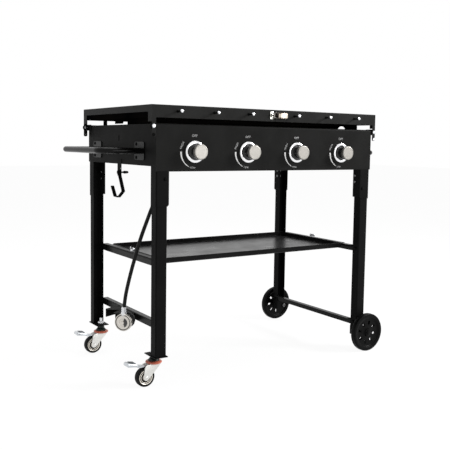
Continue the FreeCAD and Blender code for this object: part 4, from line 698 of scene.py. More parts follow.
for number, x in enumerate(KNOB_X, start=1):
    finish_piece(dial_arc("dial_arc_%d" % number, x), "stand", "black_sheet", white_print)
print("arcs:", len(KNOB_X))

# %% [markdown]
# The words are text objects that are made meshes before they are turned and put in place. They are raised
# ink like the arcs, so both catch the light in the same way.

# %% Print the words
def printed_word(name, word, size, place, turn_degrees):
    """A word of raised ink on the panel, turned about its middle."""
    deselect()
    bpy.ops.object.text_add(location=(0, 0, 0))
    text = bpy.context.object
    text.data.body = word
    text.data.align_x = "CENTER"
    text.data.align_y = "CENTER"
    text.data.size = size
    text.data.extrude = INK / 2
    text.data.resolution_u = 3
    text.data.space_character = 1.1
    bpy.ops.object.convert(target="MESH")
    text = bpy.context.object
    text.name = text.data.name = name
    upright = Matrix.Rotation(math.radians(90), 4, "X")
    turned_word = Matrix.Rotation(math.radians(-turn_degrees), 4, "Y")
    text.matrix_world = Matrix.Translation(place) @ turned_word @ upright
    return text


for number, x in enumerate(KNOB_X, start=1):
    words = [
        ("off", "OFF", 0.0112, (x, PRINT_Y, KNOB_Z + 0.0515), 0),
        ("high", "HIGH", 0.0098, (x - 0.0465, PRINT_Y, KNOB_Z + 0.0205), 62),
        ("low", "LOW", 0.0080, (x - 0.0065, PRINT_Y, KNOB_Z - 0.0520), -8),
    ]
    for kind, word, size, place, degrees in words:
        text = printed_word("dial_%s_%d" % (kind, number), word, size, place, degrees)
        finish_piece(text, "stand", "black_sheet", grey_print)
print("dials printed:", len(KNOB_X))

# %% [markdown]
# ## Shelf pegs
# Six pegs on the front skirts hold cooking tools. Each is a black rod with a collar at the skirt and a
# bright rounded cap at its end. One peg is turned and then copied along both shelves. The small stop studs
# on the shelves' ears are turned the same way; they keep an opened shelf level. Copies keep all six pegs
# alike.

# %% Turn the pegs and studs
SKIRT_Y = -0.2795
BACK_SKIRT_Y = 0.2845
PEG_Z = 0.902
PEG_X = {"left": (-0.391, -0.253, -0.115), "right": (0.083, 0.230, 0.370)}
PEG_PROFILE = [
    (0, 0), (0, 4.6), (1.4, 4.6), (2, 4), (2, 3), (24.6, 3), (25.2, 4.6), (26.2, 5.4), (28.6, 5.4), (30.2, 4.6),
    (31, 3), (31, 0),
]
PEG_CAP_START = SKIRT_Y - 24.8 * MM
PEG_START_X = PEG_X["left"][0]
first_peg = turned("shelf_peg_1", (PEG_START_X, SKIRT_Y, PEG_Z), OUT_OF_FRONT, PEG_PROFILE, steps=28)
two_finishes(first_peg, bracket_coat, zinc_plate, lambda c: c.y < PEG_CAP_START)

STUD_PROFILE = [(0, 0), (0, 5.4), (1.8, 5.4), (2.6, 4.8), (3, 3.6), (3, 2.2), (2.4, 1.6), (2.4, 0)]
EAR_X, STUD_Z = 0.476, 0.827
pegs = 0
for side, sign in (("left", -1), ("right", 1)):
    for x in PEG_X[side]:
        pegs += 1
        peg = first_peg if pegs == 1 else copied(first_peg, "shelf_peg_%d" % pegs, (x - PEG_START_X, 0, 0))
        finish_piece(peg, side + "_shelf", "bright_steel")
        if x == PEG_X[side][0]:
            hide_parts("shelf_studs_" + side)
    for end, y, way in (("front", SKIRT_Y, -1), ("back", BACK_SKIRT_Y, 1)):
        foot = (sign * EAR_X, y, STUD_Z)
        stud = turned("stop_stud_%s_%s" % (end, side), foot, (0, way, 0), STUD_PROFILE, steps=28)
        # The front left stud takes the black coat and looks dark; the others are bright plate.
        dark_stud = (end, side) == ("front", "left")
        finish = bracket_coat if dark_stud else zinc_plate
        finish_piece(stud, side + "_shelf", "bright_steel", finish)
print("pegs:", pegs)

# %% [markdown]
# ## Draw latch
# One shelf carries the keeper, a narrow strike with a raised lip. The other carries a dark base, a lever
# and a pressed loop. The loop reaches over the lip, and throwing the lever pulls it tight. Pressed pieces
# need three more tools: a Bevel modifier wears their edges, a join makes several of them one piece, and a
# Boolean modifier cuts windows and bores.

# %% Bevel, join and cut
def apply_all(piece):
    select_only(piece)
    for modifier in list(piece.modifiers):
        bpy.ops.object.modifier_apply(modifier=modifier.name)


def bevelled(piece, width, segments=2, angle=35):
    """Rounds the edges that are sharper than the angle by a width in millimetres."""
    bevel = piece.modifiers.new("worn edge", "BEVEL")
    bevel.width = width * MM
    bevel.segments = segments
    bevel.angle_limit = math.radians(angle)
    apply_all(piece)
    return piece


def joined(pieces, name):
    """Makes several pieces one object under a new name."""
    deselect()
    for piece in pieces:
        piece.select_set(True)
    bpy.context.view_layer.objects.active = pieces[0]
    bpy.ops.object.join()
    whole = bpy.context.object
    whole.name = whole.data.name = name
    return whole


def cut_from(piece, cutters):
    """Takes the cutters out of the piece with a Boolean modifier and removes them."""
    whole = joined(cutters, "cutters")
    cut = piece.modifiers.new("cut", "BOOLEAN")
    cut.operation = "DIFFERENCE"
    cut.solver = "EXACT"
    cut.object = whole
    apply_all(piece)
    bpy.data.objects.remove(whole)
    return piece


print("helpers for pressing ready")

# %% [markdown]
# The keeper is two plates with round corners. Such a plate is an outline that is drawn point by point,
# filled with one face and extruded by the sheet's thickness. A box could be scaled to the same size, but
# only an outline gives the corners the radius that a press leaves.

# %% Press the keeper
LATCH_Z = 0.902


def arc_points(centre, radius, start, end, count):
    """Points on an arc in the XZ plane, from one angle to another in degrees."""
    angles = [math.radians(start + (end - start) * index / count) for index in range(count + 1)]
    return [(centre[0] + radius * math.cos(a), centre[1], centre[2] + radius * math.sin(a)) for a in angles]


def rounded_plate(name, x0, x1, half, corner, out, thickness):
    """A plate in front of the skirt with round corners, in millimetres, half its height to both sides."""
    y = SKIRT_Y - out * MM
    points = []
    for x, z, start in ((x1, half, 0), (x0, half, 90), (x0, -half, 180), (x1, -half, 270)):
        inward = -1 if x == x1 else 1
        middle = (x * MM + inward * corner * MM, y, LATCH_Z + (z - math.copysign(corner, z)) * MM)
        points += arc_points(middle, corner * MM, start, start + 90, 4)
    return plate(name, points, (0, -thickness * MM, 0))


strike = bevelled(rounded_plate("latch_strike", -24, -12.5, 13, 2, 0, 1.5), 0.3)
lip = bevelled(rounded_plate("lip", -18.5, -17, 7, 0.7, 1.5, 4), 0.4)
keeper = joined([strike, lip], "latch_strike")
finish_piece(keeper, "left_shelf", "latch_brass", strike_zinc)
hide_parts("latch_keeper")
print("keeper: %.0f mm high" % (keeper.dimensions.z / MM))

# %% [markdown]
# The loop is a plate too. Its window is cut out, and a thin rib crosses it. A claw hangs from its tongue,
# and an eye at its other end takes the lever's link pin. Four bars could be joined to a frame instead, but
# they would show joints at the corners, which a cut window doesn't have.

# %% Press the loop
UP = (0, 0, 1)
LOOP_END = 0.0045
TONGUE_START, TONGUE_END = -0.0209, -0.0127
RIB_REACH = 0.0009
EYE_PROFILE = [(0, 0), (0, 1), (2.7, 1), (2.7, 2.2), (14.7, 2.2), (14.7, 1), (17.4, 1), (17.4, 0)]


def upright_pin(name, x, out, low, profile, steps):
    """A turned pin beside the skirt that starts at a height from the latch: sizes in millimetres."""
    return turned(name, (x * MM, SKIRT_Y - out * MM, LATCH_Z + low * MM), UP, profile, steps=steps)


loop = rounded_plate("latch_loop", -12.5, 9.5, 10.4, 3.6, 7.2, 1.4)
loop = cut_from(loop, [rounded_plate("window", -9.8, 4.6, 7.6, 2, 6, 4)])
rib = rounded_plate("rib", -10.5, 5, 0.7, 0.3, 7.4, 1)
tongue = rounded_plate("tongue", -22.5, -12, 1.8, 0.5, 7.2, 1.4)
claw = rounded_plate("claw", -22.5, -21, 6, 0.7, 2.2, 6.4)
shank = rounded_plate("shank", 9, 21, 6, 0.6, 7.2, 1.4)
eye = upright_pin("eye", 20, 6, -8.7, EYE_PROFILE, 20)
latch_loop = joined([bevelled(loop, 0.35), rib, tongue, claw, shank, eye], "latch_loop")
for finish in (loop_zinc, yellow_zinc, dark_plate_and_shade, strike_zinc):
    latch_loop.data.materials.append(finish)
use_finish(latch_loop, 1, lambda c: c.x > LOOP_END)
# The tongue and the rib take the dark plate; on the rib it is painted shade in the window.
use_finish(latch_loop, 2, lambda c: TONGUE_START < c.x < TONGUE_END)
use_finish(latch_loop, 2, lambda c: abs(c.z - LATCH_Z) < RIB_REACH and c.x < LOOP_END)
use_finish(latch_loop, 3, lambda c: c.x <= TONGUE_START)
finish_piece(latch_loop, "latch_hook", "latch_brass")
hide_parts("latch_hook")
print("latch loop:", len(latch_loop.data.polygons), "faces")

# %% [markdown]
# The lever is a channel of thin steel: two cheeks hold its own pin and the loop's, and a wider thumb end
# turns up at its tip. The tip's vertices are picked by their place and pulled outward. That bends the plate
# without a second piece.

# %% Press the lever
CHEEK_SIDE = [(12.2, 3.2), (12.2, 5.2), (14, 11), (29, 11), (29, 8), (20, 3.6), (15.5, 2.2), (13.2, 2.2)]
PIN_PROFILE = [(0, 0), (0, 1.1), (0.3, 1.25), (21.7, 1.25), (22, 1.1), (22, 0)]
PIN_X, PIN_OUT = 14, 4
THUMB_TIP = 0.0405


def pick(piece, kind, test):
    """In edit mode, selects only the vertices, edges or faces whose middle passes the test."""
    bpy.ops.mesh.select_mode(type=kind)
    bpy.ops.mesh.select_all(action="DESELECT")
    bpy.ops.object.mode_set(mode="OBJECT")
    mesh = piece.data
    group = {"VERT": mesh.vertices, "EDGE": mesh.edges, "FACE": mesh.polygons}[kind]
    chosen = 0
    for element in group:
        if kind == "VERT":
            middle = element.co
        elif kind == "EDGE":
            middle = (mesh.vertices[element.vertices[0]].co + mesh.vertices[element.vertices[1]].co) / 2
        else:
            middle = element.center
        element.select = bool(test(piece.matrix_world @ middle, element))
        chosen += element.select
    bpy.ops.object.mode_set(mode="EDIT")
    return chosen


def side_plate(name, outline, low, thickness):
    """A plate square to the skirt, from (x, distance from the skirt) pairs and a height from the latch."""
    points = [(x * MM, SKIRT_Y - out * MM, LATCH_Z + low * MM) for x, out in outline]
    return plate(name, points, (0, 0, thickness * MM))


neck = bevelled(rounded_plate("neck", 16, 31, 7, 1, 9.6, 1.2), 0.3)
thumb = rounded_plate("thumb", 28.5, 42.5, 9.2, 4, 9.8, 1.3)
select_only(thumb)
bpy.ops.object.mode_set(mode="EDIT")
pick(thumb, "VERT", lambda p, v: p.x > THUMB_TIP)
bpy.ops.transform.translate(value=(0, -0.0022, 0))
bpy.ops.object.mode_set(mode="OBJECT")
cheeks = [bevelled(side_plate("cheek", CHEEK_SIDE, low, 1.2), 0.25) for low in (7.6, -8.8)]
lever_pin = upright_pin("lever_pin", PIN_X, PIN_OUT, -11, PIN_PROFILE, 16)
lever = joined([bevelled(thumb, 0.35), neck] + cheeks + [lever_pin], "latch_lever_plate")
finish_piece(lever, "latch_lever", "latch_brass", yellow_zinc)
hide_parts("latch_lever")
print("latch lever width %.1f mm" % (lever.dimensions.x / MM))

# %% [markdown]
# The base is darker. Its two lugs are bored for the lever's pin, and two rivets hold it on the shelf.

# %% Press the base
LUG_SIDE = [(10, 0), (10, 4), (12, 6.5), (16, 6.5), (18, 4), (18, 0)]
BORE_PROFILE = [(0, 0), (0, 1.4), (3.5, 1.4), (3.5, 0)]
RIVET_PROFILE = [(0, 0), (0, 2.4), (0.5, 2.3), (1, 1.6), (1.2, 0)]

base = bevelled(rounded_plate("latch_base_plate", 4, 52, 11, 2.5, 0, 1.5), 0.3)
lugs = []
for low in (9.5, -11):
    bore = upright_pin("bore", PIN_X, PIN_OUT, low - 1, BORE_PROFILE, 16)
    lugs.append(cut_from(side_plate("lug", LUG_SIDE, low, 1.5), [bore]))
rivets = []
for x in (0.008, 0.0495):
    rivets.append(turned("rivet", (x, SKIRT_Y - 0.0015, LATCH_Z), OUT_OF_FRONT, RIVET_PROFILE, steps=18))
latch_base = joined([base] + lugs + rivets, "latch_base_plate")
finish_piece(latch_base, "right_shelf", "latch_brass", dark_plate_and_shade)
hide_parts("latch_base")
print("latch base: %.0f mm long" % (latch_base.dimensions.x / MM))

# %% [markdown]
# ## Fixed wheels
# The two large wheels are one moulding each: a wide tread with rounded shoulders, a sunken web with eight
# round ended slots, and a hub. The wheel is turned as one profile. Each slot's cutter is a short cylinder
# that is stretched in edit mode, turned about the axle and taken out of the web. The spokes could be
# modelled one by one, but on the real wheel they are only what the slots leave, so cutting comes closer to
# it.

# %% Mould the wheels
WHEEL_X, WHEEL_Z = 0.455, 0.0736
WHEEL_Y = {"front": -0.295, "back": 0.295}
SLOTS = 8
FIRST_SLOT = {"front": math.radians(13), "back": math.radians(-3)}
SLOT_WIDTH, SLOT_LOW, SLOT_HIGH, SLOT_DEPTH = 0.0098, 0.0285, 0.0460, 0.03
TREAD_PROFILE = [
    (-11, 59.5), (-11, 68.5), (-10.4, 71), (-8.8, 72.9), (-6, 73.6), (-2, 73.6), (-1.2, 72.6), (1.2, 72.6),
    (2, 73.6), (6, 73.6), (8.8, 72.9), (10.4, 71), (11, 68.5), (11, 59.5), (10, 58), (7, 56.8), (5.2, 54.5),
    (4.6, 51), (4.6, 20), (5.2, 17), (8, 15), (10.6, 14.2), (11, 13.4), (11, 4.3), (-17, 4.3), (-17, 12),
    (-16.2, 13), (-8, 15), (-5.2, 17), (-4.6, 20), (-4.6, 51), (-5.2, 54.5), (-7, 56.8), (-10, 58), (-11, 59.5),
]


def slot_cutter(centre, angle):
    """A long round-ended block along a radius of the wheel, through its web."""
    deselect()
    bpy.ops.mesh.primitive_cylinder_add(vertices=20, radius=SLOT_WIDTH / 2, depth=SLOT_DEPTH, location=centre,
                                        rotation=(math.radians(90), 0, 0))
    cutter = bpy.context.object
    bpy.ops.object.transform_apply(location=True, rotation=True, scale=True)
    bpy.ops.object.mode_set(mode="EDIT")
    pick(cutter, "VERT", lambda p, v: p.z > centre[2] + 0.0001)
    bpy.ops.transform.translate(value=(0, 0, SLOT_HIGH - SLOT_LOW - SLOT_WIDTH))
    bpy.ops.mesh.select_all(action="SELECT")
    bpy.ops.transform.translate(value=(0, 0, SLOT_LOW + SLOT_WIDTH / 2))
    bpy.ops.object.mode_set(mode="OBJECT")
    spin = Matrix.Translation(centre) @ Matrix.Rotation(angle, 4, "Y") @ Matrix.Translation(-Vector(centre))
    cutter.data.transform(spin)
    return cutter


for end, sign in (("front", -1), ("back", 1)):
    centre = (WHEEL_X, WHEEL_Y[end], WHEEL_Z)
    wheel = turned("wheel_moulding_" + end, centre, (0, sign, 0), TREAD_PROFILE, steps=96)
    cut_from(wheel, [slot_cutter(centre, FIRST_SLOT[end] + math.tau * index / SLOTS) for index in range(SLOTS)])
    finish_piece(wheel, "wheel_" + end, "wheel_black", wheel_plastic, smooth=40)
    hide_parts("wheel_" + end)
    print(wheel.name, len(wheel.data.polygons), "faces")

# %% [markdown]
# ## Casters
# The left legs stand on braked swivel casters. A caster wheel has a black rubber tread on a pale plated rim
# with pressed grooves round the hub. The fork is white zinc plate, bent from one sheet: a round crown and
# two cheeks that narrow down to the axle. A red cover hides the ball race, and a dark collar and nut join
# it to the leg. Tread and rim are turned as two pieces, because they are two materials that meet in a clean
# step.

# %% Turn the caster wheels
ENDS = ("front", "back")
CASTER_Y = {"front": -0.2195, "back": 0.2195}
CASTER_AXLE = (-0.4735, 0.0326)
TYRE_PROFILE = [
    (-8.6, 24.4), (-10.2, 25.2), (-11, 27.4), (-10.6, 30), (-8.6, 32), (-5.5, 32.6), (5.5, 32.6), (8.6, 32),
    (10.6, 30), (11, 27.4), (10.2, 25.2), (8.6, 24.4), (-8.6, 24.4),
]
RIM_SIDE = [
    (9, 24.6), (10.4, 24), (10.6, 22.8), (9.8, 21.6), (6.4, 20.9), (6.4, 19.7), (9.4, 19), (10, 18.4),
    (10, 17.2), (9.2, 16.4), (6.2, 15.4), (6.2, 12), (9.6, 11), (10.8, 10), (10.8, 4.2),
]
RIM_PROFILE = RIM_SIDE + [(-along, reach) for along, reach in RIM_SIDE[::-1]] + RIM_SIDE[:1]
GROOVES = ((19.1, 21.5), (11.1, 16.3))


def in_groove(spot):
    reach = math.hypot(spot.x - CASTER_AXLE[0], spot.z - CASTER_AXLE[1]) / MM
    return any(low < reach < high for low, high in GROOVES)


for end in ENDS:
    centre = (CASTER_AXLE[0], CASTER_Y[end], CASTER_AXLE[1])
    tyre = turned("caster_tyre_" + end, centre, OUT_OF_FRONT, TYRE_PROFILE, steps=64)
    finish_piece(tyre, "caster_wheel_" + end, "caster_rubber", tread_rubber)
    rim = turned("caster_rim_" + end, centre, OUT_OF_FRONT, RIM_PROFILE, steps=64)
    # The grooves get a dark colour as painted shade, and round the hub it is also the painted shadow of the
    # fork's cheek.
    two_finishes(rim, rim_zinc, groove_shade, in_groove)
    finish_piece(rim, "caster_wheel_" + end, "caster_zinc")
    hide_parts("caster_wheel_" + end)
print("caster wheels:", len(ENDS))

# %% [markdown]
# The fork's cheeks start as one flat outline each, drawn point by point and filled. Extruding gives the
# sheet its thickness, and a bevel rounds its edges. The crown is a turned dish, and the axle is a bolt with
# a domed head on each side. The cheeks could be carved from a block too, but a drawn one has the sheet's
# even thickness from the start.

# %% Bend the forks
STEM_X = -0.4405
CHEEK_INNER, CHEEK_THICK = 0.0125, 0.0025
CHEEK_TIP = 0.0105
CHEEK_TOP = [(-0.4255, 0.0680), (-0.4215, 0.0720), (-0.4215, 0.0750), (-0.4600, 0.0750), (-0.4740, 0.0725),
             (-0.4790, 0.0660)]
CROWN_PROFILE = [(71, 0), (71, 22.4), (72, 23.6), (74.6, 23.6), (76, 22.2), (76, 0)]
HEAD_PROFILE = [(0, 0), (0, 6.4), (1.2, 6.4), (2.6, 5.2), (3.2, 3), (3.3, 0)]
COVER_PROFILE = [(76, 0), (76, 25), (76.6, 26.8), (78, 27.6), (80, 27.4), (82, 25.4), (83, 22), (83, 0)]


def cheek_outline(y):
    """The cheek's round tip about the axle, then its two slanting edges and its top."""
    tip = arc_points((CASTER_AXLE[0], y, CASTER_AXLE[1]), CHEEK_TIP, 170, 325, 12)
    return tip + [(x, y, z) for x, z in CHEEK_TOP]


for end in ENDS:
    y = CASTER_Y[end]
    stem_foot = (STEM_X, y, 0)
    parts = []
    for side in (-1, 1):
        cheek = plate("cheek", cheek_outline(y + side * CHEEK_INNER), (0, side * CHEEK_THICK, 0))
        parts.append(bevelled(cheek, 0.6))
        outside = (CASTER_AXLE[0], y + side * (CHEEK_INNER + CHEEK_THICK), CASTER_AXLE[1])
        parts.append(turned("axle_head", outside, (0, side, 0), HEAD_PROFILE, steps=24))
    parts.append(turned("crown", stem_foot, UP, CROWN_PROFILE, steps=48))
    fork = joined(parts, "fork_plates_" + end)
    finish_piece(fork, "caster_fork_" + end, "caster_zinc", white_zinc)
    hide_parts("caster_fork_" + end)
    cover = turned("race_cover_" + end, stem_foot, UP, COVER_PROFILE, steps=56)
    finish_piece(cover, "caster_fork_" + end, "caster_zinc", red_cover)
print("forks:", len(ENDS))

# %% [markdown]
# The brake pedal is a bent strip with a wide tread plate that turns up at its end. A dark pad lies on the
# tread, and its bluish dark colour is also a painted reflection. The pedal's outline is drawn from the
# side, where its bends show, and the vertices of its arm are then moved together to make it narrow.

# %% Press the pedals
PEDAL_SIDE = [
    (-0.4675, 0.0690), (-0.4675, 0.0712), (-0.4950, 0.0732), (-0.5030, 0.0790), (-0.5090, 0.0845),
    (-0.5370, 0.0892), (-0.5420, 0.0868), (-0.5425, 0.0800), (-0.5400, 0.0772), (-0.5100, 0.0738),
    (-0.5000, 0.0690),
]
PAD_SIDE = [(-0.5110, 0.08480), (-0.5300, 0.08830), (-0.5300, 0.08930), (-0.5110, 0.08600)]
PEDAL_WIDTH, PAD_WIDTH = 0.030, 0.027
ARM_END, ARM_SHARE = -0.4960, 0.6
BOSS_PROFILE = [(0, 0), (0, 2.2), (0.4, 2.5), (23.6, 2.5), (24, 2.2), (24, 0)]
BOSS_X, BOSS_Z, BOSS_HALF = -0.4695, 0.0695, 0.012


def across_strip(name, outline, y, width):
    """A solid with an outline in the XZ plane that reaches half its width to both sides of y."""
    return plate(name, [(x, y - width / 2, z) for x, z in outline], (0, width, 0))


for end in ENDS:
    y = CASTER_Y[end]
    arm = across_strip("pedal_plate_" + end, PEDAL_SIDE, y, PEDAL_WIDTH)
    select_only(arm)
    bpy.ops.object.mode_set(mode="EDIT")
    pick(arm, "VERT", lambda p, v: p.x > ARM_END)
    bpy.ops.transform.resize(value=(1, ARM_SHARE, 1), center_override=(0, y, 0))
    bpy.ops.object.mode_set(mode="OBJECT")
    bevelled(arm, 0.9)
    boss = turned("pedal_boss", (BOSS_X, y - BOSS_HALF, BOSS_Z), (0, 1, 0), BOSS_PROFILE, steps=20)
    pedal = joined([arm, boss], "brake_pedal_plate_" + end)
    finish_piece(pedal, "brake_" + end, "caster_zinc", pressed_zinc)
    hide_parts("brake_pedal_" + end)
    pad = bevelled(across_strip("pedal_pad_" + end, PAD_SIDE, y, PAD_WIDTH), 0.3)
    finish_piece(pad, "brake_" + end, "caster_zinc", pad_and_reflection)
print("pedals:", len(ENDS))

# %% [markdown]
# Below the leg's plate sit the dark collar and the lock nut. Above the plate are the bright nut that holds
# the stem and the stem's end. All of them stand on one axis and are joined to one stack. The round parts
# are turned, and each nut starts as a cylinder with six sides.

# %% Stack the stems
COLLAR_PROFILE = [(83.3, 0), (83.3, 18.6), (84.2, 19.2), (86.4, 18.6), (89.5, 15.8), (91, 14.8), (91, 0)]
STEM_PROFILE = [(116.8, 0), (116.8, 5.2), (130.2, 5.2), (131, 4.4), (131, 0)]
LOCK_NUT_Z, STEM_NUT_Z = 0.0910, 0.1070
LEG_PLATE_Z = 0.105


def hexagon_nut(base, height, reach, turn_degrees=17):
    """A hexagon nut standing on a base point, with worn corners."""
    deselect()
    middle = Vector(base) + Vector((0, 0, height / 2))
    bpy.ops.mesh.primitive_cylinder_add(vertices=6, radius=reach, depth=height, location=middle,
                                        rotation=(0, 0, math.radians(turn_degrees)))
    nut = bpy.context.object
    bpy.ops.object.transform_apply(location=True, rotation=True, scale=True)
    return bevelled(nut, 1.1, angle=70)


for end in ENDS:
    y = CASTER_Y[end]
    collar = turned("stem_collar", (STEM_X, y, 0), UP, COLLAR_PROFILE, steps=48)
    shank = turned("stem_shank", (STEM_X, y, 0), UP, STEM_PROFILE, steps=28)
    lock_nut = hexagon_nut((STEM_X, y, LOCK_NUT_Z), 0.0130, 0.0130)
    stem_nut = hexagon_nut((STEM_X, y, STEM_NUT_Z), 0.0100, 0.0110)
    stack = joined([collar, shank, lock_nut, stem_nut], "caster_stem_stack_" + end)
    two_finishes(stack, collar_paint, zinc_plate, lambda c: c.z > LEG_PLATE_Z)
    finish_piece(stack, "stand", "black_frame")
    if end == "front":
        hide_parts("caster_stems")
print("stems:", len(ENDS))

# %% [markdown]
# ## Regulator and coupling
# The regulator is a cast disc, seen almost face on, with a raised ring, a sunken centre and a vent boss.
# The hose is crimped into a bright ferrule on top of its neck. All rings of the disc share one axis, so a
# single section spun about it makes them at once. The groove near the rim and one side of the ring round
# the vent get a darker colour as painted shade.

# %% Cast the regulator
REGULATOR = Vector((-0.507, -0.129, 0.200))
REGULATOR_AXIS = Vector((0.72, 0.69, 0)).normalized()
REGULATOR_SIDE = Vector(UP).cross(REGULATOR_AXIS)
DISC_PROFILE = [
    (-12, 0), (-12, 4.6), (-10.6, 5.6), (-8.2, 6.4), (-8.2, 11.4), (-9.8, 12.6), (-10.6, 14.4), (-10.2, 16.6),
    (-8.2, 19), (-7.8, 23.2), (-6.2, 24), (-6.2, 25.6), (-8.4, 26.4), (-8.4, 28.2), (-7.2, 29.4), (2.4, 29.4),
    (3.2, 28.2), (6.4, 26.4), (8.6, 20), (9.4, 14.4), (21, 11.4), (22, 10.6), (22, 7.2), (48, 7), (50, 5),
    (50, 0),
]
FERRULE_PROFILE = [
    (20, 0), (24, 9), (34, 9), (35, 8), (35, 7.2), (38, 7.2), (38.6, 8.2), (41, 8.2), (41.6, 7.4), (44.4, 7.4),
    (45, 8.2), (47.4, 8.2), (48, 7.4), (51, 7.4), (51, 0),
]
RIM_GROOVE = (23.2, 25.8)
VENT_RING = (6.2, 16.4)
SHADED_SHARE = -0.35


def in_painted_shade(spot):
    """Painted shade: the groove near the rim, and one side of the ring round the vent."""
    away = spot - REGULATOR
    along = away.dot(REGULATOR_AXIS)
    reach = (away - REGULATOR_AXIS * along).length / MM
    shaded_half = away.dot(REGULATOR_SIDE) < SHADED_SHARE * reach * MM
    in_vent_ring = VENT_RING[0] < reach < VENT_RING[1] and shaded_half
    return along < 0 and (RIM_GROOVE[0] < reach < RIM_GROOVE[1] or in_vent_ring)


disc = turned("regulator_disc", REGULATOR, REGULATOR_AXIS, DISC_PROFILE, steps=72)
two_finishes(disc, cast_alloy, painted_shade_alloy, in_painted_shade)
ferrule = turned("hose_ferrule", REGULATOR, UP, FERRULE_PROFILE, steps=36)
finish_piece(disc, "stand", "regulator_grey")
finish_piece(ferrule, "stand", "regulator_grey", zinc_plate)
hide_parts("regulator")
print("regulator width %.1f mm" % (disc.dimensions.z / MM))

# %% [markdown]
# On the regulator's far side is the large black handwheel that screws onto a gas bottle. Ten shallow
# grooves give it grip. Each groove's cutter is a thin rod beside the rim, along the wheel's axis. A bump in
# the finish would be quicker, but it wouldn't notch the outline.

# %% Mould the handwheel
COUPLING_PROFILE = [
    (23, 7.3), (23, 18.4), (24, 20), (26, 24.6), (27.4, 26.6), (29, 27), (37.4, 27), (39, 26.4), (41, 24.4),
    (42.6, 22.4), (43, 21), (43, 7.3), (23, 7.3),
]
GRIP_PROFILE = [(20, 0), (20, 3.2), (46, 3.2), (46, 0)]
GRIPS = 10
GRIP_REACH = 0.0284
coupling = turned("coupling_handwheel", REGULATOR, REGULATOR_AXIS, COUPLING_PROFILE, steps=60)
grips = []
for index in range(GRIPS):
    angle = math.tau * index / GRIPS
    outward = Vector(UP) * math.cos(angle) - REGULATOR_SIDE * math.sin(angle)
    grips.append(turned("grip", REGULATOR + outward * GRIP_REACH, REGULATOR_AXIS, GRIP_PROFILE, steps=16))
cut_from(coupling, grips)
finish_piece(coupling, "coupling", "coupling_black", handwheel_plastic)
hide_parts("hose_coupling")
print("handwheel:", len(coupling.data.polygons), "faces")

# %% [markdown]
# Now the pieces at both ends of the hose exist. It is a short rubber hose that hangs from the manifold's
# outlet and ends in the regulator, so its whole length can be seen.

print("hose hangs from the manifold to the regulator")

# %% [markdown]
# ## Bolts
# Thirty-six bolts hold the stand together. A bolt here is a hexagon head with a washer face, a shank and a
# nut. One bolt of each kind is built standing on the floor's centre. It is copied to every place with its
# own mesh and laid along its axis there. The axle bolts have a black cap, and the bar bolts are blackened.
# Copies keep all bolts of a kind alike, and a change to the first one reaches them all.

# %% Model one bolt of each kind
SHANK_REACH = 3
NUT_HEIGHT = 4


def swung(piece, matrix):
    """Moves a piece's mesh by a matrix, as rotating and moving it by hand would."""
    piece.matrix_world = matrix
    select_only(piece)
    bpy.ops.object.transform_apply(location=True, rotation=True, scale=True)
    return piece


def bolt_shank(grip, reach, tip):
    """A shank along +Z with a worn end: sizes in millimetres."""
    profile = [(0, 0), (0, reach), (grip - 0.6, reach), (grip, tip), (grip, 0)]
    return turned("shank", (0, 0, 0), UP, profile, steps=20)


def bolt_nut(grip, reach):
    """The nut that ends where the shank ends."""
    return hexagon_nut((0, 0, (grip - NUT_HEIGHT) * MM), NUT_HEIGHT * MM, reach * MM, turn_degrees=10)


def hex_bolt(name, grip):
    """A bolt along +Z with its head under the floor's level."""
    head = hexagon_nut((0, 0, -3.5 * MM), 3.0 * MM, 6 * MM, turn_degrees=0)
    washer = turned("washer", (0, 0, 0), UP, [(-0.5, 0), (-0.5, 5.4), (0, 5.4), (0, 0)], steps=24)
    return joined([head, washer, bolt_shank(grip, SHANK_REACH, 2.4), bolt_nut(grip, 6)], name)


def domed_bolt(name, reach, height, shank_reach, grip):
    """A round-headed bolt: a dome with a small dimple, a shank and a nut."""
    dome = [(0, 0), (0, reach), (-0.4 * height, reach), (-0.8 * height, 0.78 * reach), (-height, 0.42 * reach),
            (-height, 0.3 * reach), (-0.75 * height, 0.25 * reach), (-0.75 * height, 0)]
    head = turned("head", (0, 0, 0), UP, dome, steps=28)
    shank = bolt_shank(grip, shank_reach, shank_reach - 0.5)
    return joined([head, shank, bolt_nut(grip, shank_reach + 3)], name)


KINDS = {
    "flange": (hex_bolt("flange_bolt", 14), dark_zinc),
    "web": (hex_bolt("web_bolt", 9), bracket_coat),
    "bar": (hex_bolt("bar_bolt", 8.5), bracket_coat),
    "pivot": (domed_bolt("pivot_bolt", 6.5, 3.5, 3.5, 10.3), zinc_plate),
    "screw": (domed_bolt("handle_screw", 6, 2.5, 3, 9.5), bracket_coat),
}
print("kinds of bolt:", len(KINDS))

# %% [markdown]
# Their places come from the holes of the frame: two through each sleeve's flange, one through its web, one
# at each end of every bar, one at each shelf's pivot and two through each end plate of the handles. Each
# place is written with the direction in which the bolt points, and that direction turns the copy.

# %% Put the bolts in place
FLANGE_X, FLANGE_Y, FLANGE_Z = 0.4155, 0.248, (0.686, 0.662)
WEB_X, WEB_Y, WEB_Z = 0.430, 0.274, {-1: 0.686, 1: 0.637}
BAR_X, BAR_Y, TRAY_BAR_Z, CROSS_BAR_Z = 0.4215, 0.254, 0.403, {-1: 0.193, 1: 0.110}
PIVOT_Y, PIVOT_Z = {-1: -0.2798, 1: 0.2848}, 0.854
SCREW_X, SCREW_Y, SCREW_Z = 0.468, (-0.138, 0.210), (0.752, 0.796)

